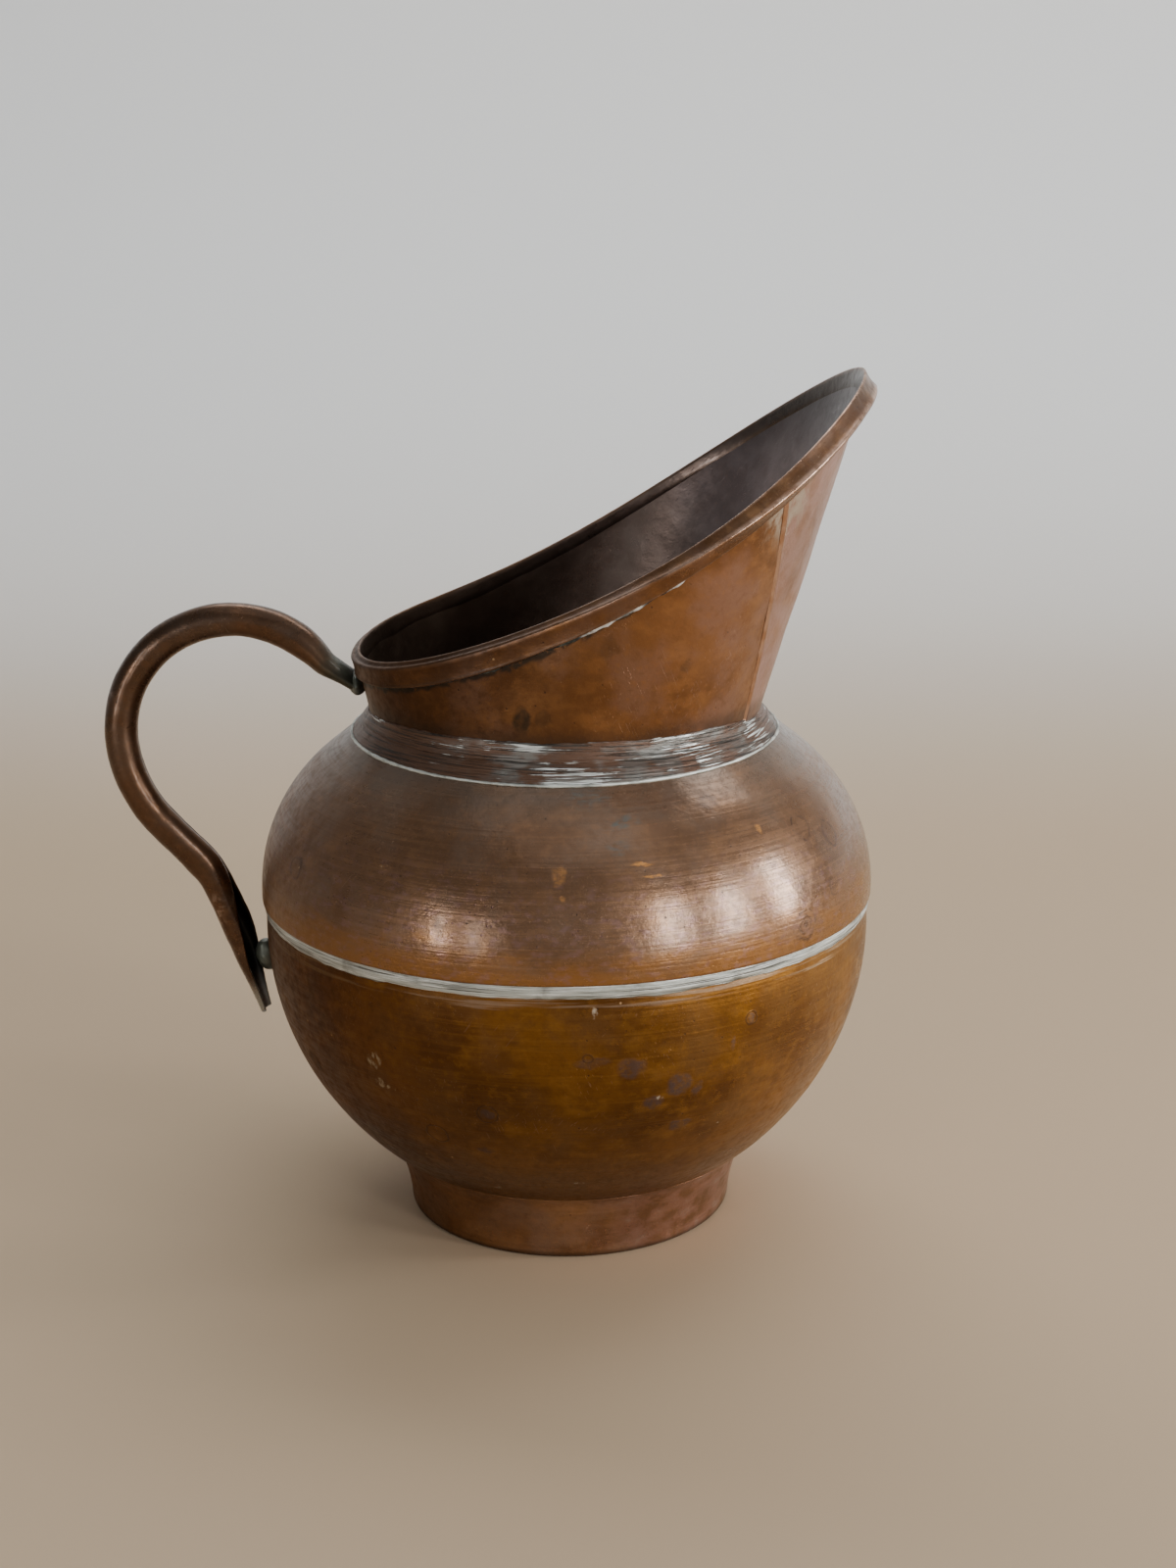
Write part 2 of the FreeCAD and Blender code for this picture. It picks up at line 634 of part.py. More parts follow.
def shaped(label, shape):
    """A piece whose shape is worked out above from the sheet's sizes."""
    piece = doc.addObject("Part::Feature", label)
    piece.Shape = shape
    piece.Placement = FreeCAD.Placement()
    return piece


RIM = {name: size(name) for name, _, _ in DIMENSIONS if name.startswith("rim_")}

PIECES = [
    make_lower_bowl(),
    make_upper_bowl(),
    make_belly_seam_solder(),
    make_foot_ring(),
    make_foot_solder(),
    make_neck_collar(),
    make_collar_lower_solder(),
    make_collar_upper_solder(),
    make_neck_funnel(),
    make_neck_seam_solder(),
    make_rim_binding(),
    make_rim_wire(),
    make_rim_solder(),
    make_handle_tube(),
    make_handle_top_solder(),
    make_handle_foot_solder(),
]
for piece in PIECES:
    piece.Label = piece.Name
doc.recompute()

for item in doc.Objects:
    if "Invalid" in item.State or "Error" in item.State:
        raise RuntimeError(f"{item.Name} failed: {item.State}")
for piece in PIECES:
    if piece.Shape.isNull() or not piece.Shape.isValid():
        raise RuntimeError(f"{piece.Label} has no valid shape")

os.makedirs("parts", exist_ok=True)
for piece in PIECES:
    piece.Shape.exportStep(f"parts/{piece.Label}.step")
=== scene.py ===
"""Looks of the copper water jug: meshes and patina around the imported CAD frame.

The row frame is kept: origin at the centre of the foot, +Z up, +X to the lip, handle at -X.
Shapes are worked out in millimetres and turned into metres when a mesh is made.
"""
import math
import bpy
import numpy as np
from mathutils import Matrix, Vector, noise


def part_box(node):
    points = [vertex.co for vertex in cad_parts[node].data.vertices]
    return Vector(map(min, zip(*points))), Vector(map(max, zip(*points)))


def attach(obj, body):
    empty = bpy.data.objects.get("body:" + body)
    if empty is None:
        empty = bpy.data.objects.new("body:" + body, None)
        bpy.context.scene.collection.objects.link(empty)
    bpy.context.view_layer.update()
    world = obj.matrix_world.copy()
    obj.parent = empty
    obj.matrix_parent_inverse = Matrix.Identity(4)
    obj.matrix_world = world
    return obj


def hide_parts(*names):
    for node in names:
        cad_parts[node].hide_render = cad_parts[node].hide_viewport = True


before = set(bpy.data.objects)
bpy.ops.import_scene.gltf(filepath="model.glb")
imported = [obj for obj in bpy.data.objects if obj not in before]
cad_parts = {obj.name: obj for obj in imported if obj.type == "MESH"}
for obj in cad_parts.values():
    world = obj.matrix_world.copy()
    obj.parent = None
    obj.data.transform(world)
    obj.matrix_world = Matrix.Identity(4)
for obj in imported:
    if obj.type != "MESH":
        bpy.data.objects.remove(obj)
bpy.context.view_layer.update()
MM = 0.001


def node_box(node):
    """Lowest and highest corner of a CAD node, in millimetres."""
    low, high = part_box(node)
    return np.array(low) / MM, np.array(high) / MM


# ---- sizes, read from the frame or shared with the design ----------------------------

BOWL_LOW, BOWL_HIGH = node_box("lower_bowl")
DOME_LOW, DOME_HIGH = node_box("upper_bowl")
FOOT_HIGH = node_box("foot_ring")[1]
COLLAR_HIGH = node_box("neck_collar")[1]
SHEET = 1.0
BOWL_ARC = 86.5
BOWL_REACH = BOWL_HIGH[0] - BOWL_ARC
BOWL_CENTRE = 90.0
DOME_ARC = 50.0
DOME_REACH = DOME_HIGH[0] - DOME_ARC
DOME_CENTRE = 101.0
DOME_ARC_END = math.radians(51.5)
DOME_MOUTH = 57.0
SEAM_HEIGHT = DOME_LOW[2]
COLLAR_SHOULDER = 153.1
COLLAR_TOP_RADIUS = 57.5
NECK_RADIUS = 57.0
NECK_BASE = node_box("neck_funnel")[0][2]


# ---- mesh helpers --------------------------------------------------------------------


def ripple(points, wave, seed, octaves=2):
    """Smooth noise between about -1 and 1 at each point, with waves of the given width."""
    shift = Vector((seed * 17.3, seed * 5.1, seed * 9.7))
    flat = points.reshape(-1, 3)
    values = [noise.fractal(Vector(p) / wave + shift, 1.0, 2.0, octaves) for p in flat]
    return np.array(values).reshape(points.shape[:-1])


def smooth(value, low=0.0, high=1.0):
    """A smooth step from 0 at low to 1 at high."""
    held = np.clip((np.asarray(value, float) - low) / (high - low), 0.0, 1.0)
    return held * held * (3 - 2 * held)


def line(start, end, steps):
    """Points from start up to but not including end."""
    share = np.arange(steps)[:, None] / steps
    return np.array(start) * (1 - share) + np.array(end) * share


def arc(centre, radius, start, end, steps):
    """Points on an arc from angle start up to but not including angle end, in radians."""
    angle = start + (end - start) * np.arange(steps) / steps
    return np.array(centre) + radius * np.stack([np.cos(angle), np.sin(angle)], -1)


def mesh_object(name, vertices, faces, values=None):
    """A smooth-shaded object from millimetre points, with named values on its points."""
    mesh = bpy.data.meshes.new(name)
    mesh.from_pydata((vertices * MM).tolist(), [], faces)
    mesh.validate()
    for key, data in (values or {}).items():
        layer = mesh.attributes.new(key, "FLOAT", "POINT")
        layer.data.foreach_set("value", np.asarray(data, np.float32).ravel())
    mesh.shade_smooth()
    mesh.update()
    piece = bpy.data.objects.new(name, mesh)
    bpy.context.scene.collection.objects.link(piece)
    return piece


def grid_faces(rows, columns, wrap_rows):
    """Quads of a grid whose columns close on themselves."""
    faces = []
    for row in range(rows if wrap_rows else rows - 1):
        below = row * columns
        above = ((row + 1) % rows) * columns
        for column in range(columns):
            after = (column + 1) % columns
            faces.append((below + column, below + after, above + after, above + column))
    return faces


def around(count):
    """Evenly spaced angles round a full turn, in radians."""
    return 2 * math.pi * np.arange(count) / count


def turned_rows(rows, angle):
    """Grid points from (radius, height) rows, either of which may follow the angle."""
    flat = np.zeros_like(angle)
    return np.array([np.stack([(flat + radius) * np.cos(angle), (flat + radius) * np.sin(angle),
                               flat + height], -1) for radius, height in rows])


def round_rows(out, up, radius, sides):
    """Rows of a round section about a middle that may follow the angle."""
    turns = (2 * math.pi * side / sides for side in range(sides))
    return [(out + radius * math.cos(turn), up + radius * math.sin(turn)) for turn in turns]


def pushed(points, amount):
    """Points moved outward from the vertical axis by an amount each."""
    reach = np.linalg.norm(points[..., :2], axis=-1, keepdims=True)
    moved = points.copy()
    moved[..., :2] += points[..., :2] / np.maximum(reach, 1e-6) * amount[..., None]
    return moved


def ring_piece(name, points, values=None):
    """A closed ring from a grid whose rows and columns both close on themselves."""
    rows, columns = points.shape[:2]
    return mesh_object(name, points.reshape(-1, 3), grid_faces(rows, columns, True), values)


def bar_piece(name, rings, values=None):
    """A closed bar from rings of points, with flat ends."""
    rows, columns = rings.shape[:2]
    faces = grid_faces(rows, columns, False)
    last = (rows - 1) * columns
    faces.append(tuple(range(columns)))
    faces.append(tuple(reversed(range(last, last + columns))))
    return mesh_object(name, rings.reshape(-1, 3), faces, values)


def lump_piece(name, centre, radii, seed, uneven=0.3, bent=None):
    """A closed uneven lump: a ball drawn out to three half-sizes and bent by a function."""
    rows, columns = 26, 44
    rings = []
    for row in range(1, rows):
        polar = math.pi * row / rows
        turn = around(columns)
        ring = np.stack([math.sin(polar) * np.cos(turn), math.sin(polar) * np.sin(turn),
                         np.full(columns, math.cos(polar))], -1)
        rings.append(ring)
    ball = np.concatenate(rings + [np.array([[0, 0, 1.0], [0, 0, -1.0]])])
    points = np.array(centre) + ball * np.array(radii)
    points = points + ball * (ripple(points, 3.2, seed, 3) * uneven)[:, None]
    if bent:
        points = bent(points)
    faces = grid_faces(rows - 1, columns, False)
    top, bottom = len(points) - 2, len(points) - 1
    last = (rows - 2) * columns
    for column in range(columns):
        after = (column + 1) % columns
        faces.append((top, after, column))
        faces.append((bottom, last + column, last + after))
    return mesh_object(name, points, faces)


def finish_piece(piece, material, node):
    """Puts a finished piece on the root body in place of its CAD node."""
    piece.data.materials.append(material)
    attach(piece, "root")
    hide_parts(node)


# ---- belly ---------------------------------------------------------------------------

AROUND = 384


def bowl_radius(height):
    """Outer radius of the lower bowl at a height."""
    return BOWL_REACH + math.sqrt(BOWL_ARC**2 - (height - BOWL_CENTRE) ** 2)


def shoulder_height(radius, offset=0.0):
    """Height of the dome's straight shoulder at a radius."""
    reach = DOME_REACH + (DOME_ARC + offset) * math.cos(DOME_ARC_END)
    rise = DOME_CENTRE + (DOME_ARC + offset) * math.sin(DOME_ARC_END)
    return rise + (reach - radius) / math.tan(DOME_ARC_END)


def hand_work(points, depth=0.22):
    """The slight unevenness that hammer and stake leave on a raised sheet."""
    broad = ripple(points, 46.0, 1) * depth
    small = ripple(points, 15.0, 2) * depth * 0.3
    return broad + small


def make_lower_bowl():
    """The raised bowl with its flat floor, closed at both poles."""
    floor = BOWL_LOW[2]
    lip = BOWL_HIGH[2]
    low_angle = math.asin((floor - BOWL_CENTRE) / BOWL_ARC)
    top_angle = math.asin((lip - BOWL_CENTRE) / BOWL_ARC)
    inner = BOWL_ARC - SHEET
    inner_low = math.asin((floor + SHEET - BOWL_CENTRE) / inner)
    inner_top = math.asin((lip - BOWL_CENTRE) / inner)
    centre = (BOWL_REACH, BOWL_CENTRE)
    floor_radius = bowl_radius(floor)
    profile = np.concatenate([
        line((0.4, floor), (floor_radius - 3, floor), 14),
        line((floor_radius - 3, floor), (floor_radius, floor + 0.4), 3),
        arc(centre, BOWL_ARC, low_angle + 0.01, top_angle, 130),
        line((bowl_radius(lip), lip), (bowl_radius(lip) - SHEET, lip), 2),
        arc(centre, inner, inner_top, inner_low, 60),
        line((floor_radius - 2, floor + SHEET), (0.4, floor + SHEET), 14),
        [(0.4, floor + SHEET)],
    ])
    points = turned_rows(profile, around(AROUND))
    points = pushed(points, hand_work(points) * smooth(profile[:, 0] / 30.0)[:, None])
    rows = len(profile)
    vertices = points.reshape(-1, 3)
    faces = grid_faces(rows, AROUND, False)
    poles = np.array([(0, 0, floor), (0, 0, floor + SHEET)])
    first_pole = len(vertices)
    for column in range(AROUND):
        after = (column + 1) % AROUND
        faces.append((first_pole, after, column))
        last = (rows - 1) * AROUND
        faces.append((first_pole + 1, last + column, last + after))
    return mesh_object("lower_bowl_shell", np.concatenate([vertices, poles]), faces)


def make_upper_bowl():
    """The dome from its lapped edge up its straight shoulder to the mouth."""
    inner = DOME_ARC - SHEET
    edge = math.asin((SEAM_HEIGHT - DOME_CENTRE) / DOME_ARC)
    inner_edge = math.asin((SEAM_HEIGHT - DOME_CENTRE) / inner)
    centre = (DOME_REACH, DOME_CENTRE)
    shoulder = (DOME_REACH + DOME_ARC * math.cos(DOME_ARC_END),
                DOME_CENTRE + DOME_ARC * math.sin(DOME_ARC_END))
    inner_shoulder = (DOME_REACH + inner * math.cos(DOME_ARC_END),
                      DOME_CENTRE + inner * math.sin(DOME_ARC_END))
    mouth = (DOME_MOUTH, shoulder_height(DOME_MOUTH))
    inner_mouth = (DOME_MOUTH, shoulder_height(DOME_MOUTH, -SHEET))
    profile = np.concatenate([
        arc(centre, DOME_ARC, edge, DOME_ARC_END, 78),
        line(shoulder, mouth, 22),
        line(mouth, inner_mouth, 2),
        line(inner_mouth, inner_shoulder, 10),
        arc(centre, inner, DOME_ARC_END, inner_edge, 34),
        line((DOME_REACH + inner * math.cos(inner_edge), SEAM_HEIGHT),
             (DOME_REACH + DOME_ARC * math.cos(edge), SEAM_HEIGHT), 2),
    ])
    points = turned_rows(profile, around(AROUND))
    points = pushed(points, hand_work(points))
    return ring_piece("upper_bowl_shell", points)


def make_belly_seam():
    """The wiped solder under the dome's edge, uneven in height and swell."""
    angle = around(2 * AROUND)
    circle = turned_rows([(90, 0)], angle)[0]
    drop = 4.1 + 0.5 * ripple(circle, 26.0, 3) + 0.35 * ripple(circle, 6.0, 4)
    swell = 0.95 + 0.25 * ripple(circle, 9.0, 5)
    rows = []
    for step in np.linspace(0.0, 1.0, 13):
        height = SEAM_HEIGHT - 0.02 - step * drop
        body = np.array([bowl_radius(h) for h in height])
        bulge = np.sin(math.pi * min(1.0, 0.42 + 0.58 * step)) ** 0.8
        rows.append((body + np.maximum(swell * bulge, -0.12), height))
    visible = len(rows)
    rows += [(bowl_radius(height) + 0.04, height) for height in (SEAM_HEIGHT - 2.0, SEAM_HEIGHT + 1.6)]
    radius = DOME_REACH + DOME_ARC - SHEET - 0.1
    rows += [(radius, SEAM_HEIGHT + 1.6), (radius, SEAM_HEIGHT + 0.02)]
    points = turned_rows(rows, angle)
    grain = ripple(points * np.array([1, 1, 2.5]), 2.2, 6) * 0.09
    grain[visible:] = 0.0
    return ring_piece("belly_seam_bead", pushed(points, grain))


def foot_meeting(radius):
    """Height of the bowl's underside at a radius."""
    return BOWL_CENTRE - math.sqrt((BOWL_ARC + 0.03) ** 2 - (radius - BOWL_REACH) ** 2)


def flared_side(low_radius, low_height, end, steps=30):
    """The foot's side, which leaves the floor nearly upright and leans out more and more."""
    share = np.arange(steps)[:, None] / steps
    lean = 0.45 * share + 0.55 * share**2.2
    radius = low_radius + (end[0] - low_radius) * lean
    return np.concatenate([radius, low_height + (end[1] - low_height) * share], axis=1)


def make_foot():
    """The tapered foot band, flared softly into the bowl, with a turned-in resting edge."""
    bottom_radius = 48.7
    top_radius = FOOT_HIGH[0]
    inside = top_radius - SHEET
    flange = bottom_radius - 4.0
    bend = 1.2
    flare = 4.0
    low_flare = foot_meeting(top_radius) - 3.0
    high_flare = foot_meeting(top_radius + flare)
    share = np.linspace(0, 1, 16)[:, None]
    start = np.array((top_radius + 0.5, low_flare))
    corner = np.array((top_radius + 1.1, low_flare + 3.2))
    end = np.array((top_radius + flare, high_flare - 0.05))
    soft = start * (1 - share) ** 2 + 2 * corner * share * (1 - share) + end * share**2
    profile = np.concatenate([
        line((flange, 0), (bottom_radius - bend, 0), 5),
        arc((bottom_radius - bend, bend), bend, -math.pi / 2, 0, 6),
        flared_side(bottom_radius, bend, start),
        soft,
        line((top_radius + flare, high_flare + 0.05), (inside, foot_meeting(inside)), 8),
        line((inside, foot_meeting(inside)), (bottom_radius - SHEET, 1.8), 12),
        line((bottom_radius - SHEET, 1.8), (bottom_radius - SHEET - 0.6, 1.2), 3),
        line((bottom_radius - SHEET - 0.6, 1.2), (flange, 1.2), 4),
        line((flange, 1.2), (flange, 0), 2),
    ])
    points = turned_rows(profile, around(AROUND))
    height = profile[:, 1]
    free = (smooth(height / 4.0) * smooth(height, high_flare, low_flare))[:, None]
    return ring_piece("foot_band", pushed(points, hand_work(points, 0.22) * free))


# ---- neck and rim --------------------------------------------------------------------

RIM_SHIFT, RIM_HALF_LENGTH, RIM_HALF_WIDTH = 13.0, 72.6, 67.0
RIM_SQUARENESS, RIM_FRONT_TAPER = 4.5, 5.5
RIM_MID_HEIGHT, RIM_RISE, RIM_SAG = 199.2, 38.9, 12.2
RIM_AROUND = 480
RIDGE = 12


def rim_crest(angle):
    """The rim's crest line: 0 at the lip and pi at the handle."""
    along = np.cos(angle)
    width = RIM_HALF_WIDTH + RIM_SQUARENESS * np.cos(2 * angle)
    width = width - RIM_FRONT_TAPER * np.cos(3 * angle)
    return np.stack([RIM_SHIFT + RIM_HALF_LENGTH * along, np.sin(angle) * width,
                     RIM_MID_HEIGHT + RIM_RISE * along + RIM_SAG * along**2], -1)


def to_lip(angle, low=0.0, high=1.0):
    """How near an angle is to the lip: 0 at the handle and 1 at the lip."""
    return smooth((1 + np.cos(angle)) / 2, low, high)


def neck_foot(angle, inset=0.0):
    """The neck's round lower edge."""
    return turned_rows([(NECK_RADIUS - inset, NECK_BASE)], angle)[0]


def unit(vectors):
    """Vectors scaled to length 1."""
    return vectors / np.linalg.norm(vectors, axis=-1, keepdims=True)


def rim_axes(angle):
    """Crest points with the outward and the upward direction of the rim's cross-section."""
    crest = rim_crest(angle)
    way = rim_crest(angle + 1e-3) - rim_crest(angle - 1e-3)
    lean = unit(crest - neck_foot(angle, SHEET))
    outward = unit(np.stack([way[:, 1], -way[:, 0], 0 * angle], -1))
    outward = unit(outward - lean * np.sum(outward * lean, -1, keepdims=True))
    return crest, outward, lean


def rim_rows(section, angle):
    """Ring rows along the rim; section holds (out, up) arrays over the angle."""
    crest, outward, lean = rim_axes(angle)
    return np.array([crest + outward * np.asarray(out)[..., None] + lean * np.asarray(up)[..., None]
                     for out, up in section])


LAP_FROM, LAP_TO = math.radians(-28.0), math.radians(12.0)
LAP_DRIFT, LAP_FADE = -0.385, 1.3


def neck_columns(count=470):
    """Column angles round the neck, with two close together at each edge of the lap."""
    close = 0.006
    angles = np.linspace(-math.pi, math.pi, count, endpoint=False)
    for edge in (LAP_FROM, LAP_TO):
        angles = angles[np.abs(angles - edge) > 1.5 * close]
        angles = np.concatenate([angles, [edge - close, edge + close]])
    return np.sort(angles)


def neck_turn(angle, rise):
    """The angle that a column has reached at a share of the neck's height; the lap slants."""
    held = smooth(angle, LAP_FROM - LAP_FADE, LAP_FROM) * smooth(angle, LAP_TO + LAP_FADE, LAP_TO)
    return angle + LAP_DRIFT * held * rise


def neck_place(angle, rise, out):
    """A point of the neck's wall: angle at the foot, share of the height, and depth outward."""
    turned_angle = neck_turn(angle, rise)
    crest, outward, lean = rim_axes(turned_angle)
    top = crest + outward * SHEET * out - 1.8 * lean
    return neck_foot(turned_angle, SHEET * (1 - out)) * (1 - rise) + top * rise


def make_neck():
    """The wrapped sheet of the neck, gently uneven, with its lapped layer at the lip's side."""
    angle = neck_columns()
    outer_rows, inner_rows = 72, 40
    inside_lap = (angle > LAP_FROM) & (angle < LAP_TO)
    lap = inside_lap * (0.25 + 0.75 * smooth(angle, LAP_FROM + 0.45, LAP_FROM))
    points, inside = [], []
    for row in range(outer_rows):
        rise = row / (outer_rows - 1)
        layer = 0.55 * lap * float(smooth(rise, 1.0, 0.9))
        wall = neck_place(angle, rise, 1.0)
        _, outward, _ = rim_axes(neck_turn(angle, rise))
        points.append(wall + outward * layer[:, None])
        inside.append(0.0)
    for row in range(inner_rows):
        points.append(neck_place(angle, 1 - row / (inner_rows - 1), 0.0))
        inside.append(1.0)
    points = np.array(points)
    rise = np.concatenate([np.linspace(0, 1, outer_rows), np.linspace(1, 0, inner_rows)])[:, None]
    free = smooth(rise, 0.0, 0.4) * smooth(rise, 1.0, 0.75)
    sway = hand_work(points, 0.45) * free
    dents = ripple(points, 11.0, 9) * 0.10 * free
    points = pushed(points, sway + dents)
    scuff = np.linalg.norm(points - np.array([60.0, -51.0, 220.0]), axis=-1)
    seam = np.abs(angle - LAP_FROM)[None, :] + 0 * points[..., 0]
    below_rim = (1 - rise) * np.linalg.norm(rim_crest(angle) - neck_foot(angle), axis=-1)[None, :]
    reach = binding_drop(angle) + grime_and_shade_reach(angle)
    values = {
        "inside": np.repeat(np.array(inside)[:, None], len(angle), axis=1),
        "lap": np.repeat(inside_lap[None, :].astype(float), len(points), axis=0),
        # dust near the lip's front, plus a painted highlight along the lap's edge
        "dust_and_edge_highlight": np.clip(smooth(scuff, 15.0, 4.0) + 0.35 * smooth(seam, 0.03, 0.0), 0, 1),
        # grime and painted shade below the binding
        "grime_and_shade_below_rim": smooth(below_rim - reach, 0.6, -0.5),
    }
    return ring_piece("neck_shell", points, values)


def make_lap_seam():
    """The thread of brazing along the visible edge of the lap."""
    rises = np.linspace(0.01, 0.9, 120)
    section = ((-0.016, 1.0), (-0.011, 1.1), (-0.003, 1.35), (0.006, 1.57), (0.006, 1.0))
    rings = []
    for rise in rises:
        ring = []
        for turn, out in section:
            angle = np.array([LAP_FROM + turn])
            wall = neck_place(angle, rise, 1.0)
            _, outward, _ = rim_axes(neck_turn(angle, rise))
            ring.append((wall + outward * (out - 1.0))[0])
        rings.append(ring)
    points = np.array(rings)
    points = pushed(points, ripple(points, 4.0, 31) * 0.1 - 0.05)
    return bar_piece("neck_seam_thread", points)


def binding_drop(angle):
    """How far the binding reaches down: least at the handle, most at mid-length."""
    return 6.2 + 2.6 * np.sin(angle) ** 2 + 0.8 * to_lip(angle)


def grime_and_shade_reach(angle):
    """How far the grime and painted shade hang down below the binding on the side of the handle."""
    turn = np.degrees(angle)
    ragged = 1.4 + 1.6 * ripple(rim_crest(angle), 5.0, 44, 3)
    near = bump_between(turn, -178, -112, 14) * (ragged + 1.3 * smooth(turn, -150, -170))
    return near + bump_between(turn, -104, -70, 10) * 0.6 * ragged - 0.4


def rim_section(angle):
    """Key points of the rolled binding, which turns outward more and more to the lip.

    They run from inside the neck over the crest, out to the ridge (number RIDGE), down the
    outer face and back up within the roll.
    """
    front = to_lip(angle, 0.1, 0.9)
    circle = rim_crest(angle)
    wave = ripple(circle, 24.0, 11) * 0.35
    fine = ripple(circle, 7.0, 12) * 0.15
    ridge_out = 1.7 + 2.2 * front + wave
    ridge_up = -0.9 - 2.0 * front + 0.5 * fine
    low_out = 2.5 + 0.3 * front + 0.6 * wave
    low_up = fine - 0.4 * wave - binding_drop(angle)
    flat = np.zeros_like(angle)
    outer = [
        (flat + 0.4, flat - 6.4), (flat - 0.02, flat - 5.8), (flat - 0.3, flat - 3.6),
        (flat - 0.5, flat - 1.6), (flat - 0.5, flat - 0.6), (flat - 0.34, flat - 0.12),
        (flat - 0.05, flat + 0.03), (flat + 0.25, flat - 0.1), (flat + 0.55, flat - 0.45),
    ]
    start = np.array([0.55, -0.45])
    for share in (0.25, 0.5, 0.75):
        sunk = 0.3 * math.sin(math.pi * share)
        outer.append((start[0] * (1 - share) + ridge_out * share,
                      start[1] * (1 - share) + ridge_up * share - sunk))
    outer += [(ridge_out, ridge_up), (ridge_out + 0.5, ridge_up - 0.25),
              (ridge_out + 0.8, ridge_up - 0.8)]
    for share in (0.2, 0.4, 0.6, 0.8, 0.93):
        out = (ridge_out + 0.8) * (1 - share) + low_out * share
        up = (ridge_up - 0.8) * (1 - share) + low_up * share
        outer.append((out - 0.2 * math.sin(math.pi * share), up))
    return outer + [
        (low_out + 0.1, low_up), (low_out - 0.3, low_up - 0.2), (low_out - 0.7, low_up + 0.1),
        (low_out - 0.8, low_up + 0.7),
        (ridge_out * 0.5 + low_out * 0.5 - 0.75, (ridge_up + low_up) / 2),
        (ridge_out - 0.5, ridge_up - 1.5), (flat + 1.1, flat - 1.75), (flat + 0.4, flat - 1.4),
        (flat + 0.3, flat - 3.0),
    ]


def make_rim():
    """The folded binding, with painted highlights on its rubbed edges, painted shade on its top ledge and
    lower face, and its dirty underside marked.
    """
    angle = around(RIM_AROUND)
    section = rim_section(angle)
    rows = rim_rows(section, angle)
    front = to_lip(angle, 0.15, 0.8)
    edge, dirt_and_shade, inside = (np.zeros((len(section), RIM_AROUND)) for _ in range(3))
    inside[:5] = np.array((1.0, 1.0, 1.0, 1.0, 0.6))[:, None]
    # painted highlights: light lines on the inner crest, the ridge (stronger towards the lip) and the
    # lower edge, laid on rubbed edges
    edge[5:8] = np.array((0.3, 0.55, 0.3))[:, None]
    edge[RIDGE:RIDGE + 3] = np.array((0.6, 1.0, 0.3))[:, None] * (0.2 + 0.8 * front)
    edge[20:22] = 0.3
    # painted shade on the top ledge (rows 8 to 11) and low on the outer face (row 19); the rows within
    # the fold carry dark verdigris grime
    dirt_and_shade[8:12] = 0.12
    dirt_and_shade[19] = 0.2
    dirt_and_shade[22:] = 1.0
    values = {"edge": edge, "inside": inside, "dirt_and_shade": dirt_and_shade}
    return ring_piece("rim_roll", rows, values)


def bump_between(value, low, high, fade):
    """1 between low and high, fading to 0 outside."""
    return smooth(value, low - fade, low) * smooth(value, high + fade, high)


def make_rim_solder():
    """Solder and dirt under the roll: dark towards the handle, light grey at mid-length."""
    angle = around(720) - math.pi
    turn = np.degrees(angle)
    path = rim_crest(angle)
    rough = 0.8 * ripple(path, 9.0, 41) + 0.7 * ripple(path, 3.0, 42)
    near = bump_between(turn, -175, -148, 4) * 1.5 + bump_between(turn, -144, -106, 4) * 1.0
    near = near + bump_between(turn, -101, -74, 3) * 1.9 + bump_between(turn, -67, -61, 2) * 1.6
    far = bump_between(turn, 60, 160, 15) * 1.4
    swell = np.clip(near + far - 0.4 + 0.9 * rough, -1.2, 3.2)
    swell = np.where(bump_between(turn, -58, 8, 3) > 0.3, -1.6, swell)
    edge = 0.15 - binding_drop(angle)
    low = edge - swell
    flat = np.zeros_like(angle)
    section = [
        (flat + 0.96, edge + 2.2), (flat + 1.6, edge + 2.2), (flat + 1.75, edge + 1.1),
        (flat + 1.7 + 0.2 * rough, np.minimum(low + 1.2, edge + 1.0)),
        (1.5 + 0.2 * rough, np.minimum(low + 0.5, edge + 0.95)),
        (flat + 1.2, np.minimum(low + 0.1, edge + 0.9)),
        (flat + 0.96, np.minimum(low, edge + 0.85)),
    ]
    bright = bump_between(turn, -93, -73, 2) + bump_between(turn, -67, -61, 1)
    bright = bright + bump_between(turn, 90, 120, 6)
    bright = np.clip(bright * smooth(0.5 + ripple(path, 5.0, 43), 0.1, 0.5), 0, 1)
    points = rim_rows(section, angle)
    values = {"bright": np.repeat(bright[None, :], len(section), axis=0)}
    return ring_piece("rim_solder_line", points, values)


def make_rim_wire():
    """The iron wire that the rim is rolled round, hidden in the roll."""
    angle = around(RIM_AROUND)
    front = to_lip(angle)
    ridge_out, ridge_up = rim_section(angle)[RIDGE]
    section = round_rows(ridge_out + 0.07 - 0.22 * front, ridge_up - 1.4 + 0.3 * front, 0.4, 8)
    return ring_piece("rim_core_wire", rim_rows(section, angle))


def collar_reach(angle):
    """The collar's edge on the dome, hammered a little wider across than along."""
    return COLLAR_HIGH[0] - 0.4 * np.cos(angle) ** 2 + 0.9 * np.sin(angle) ** 2


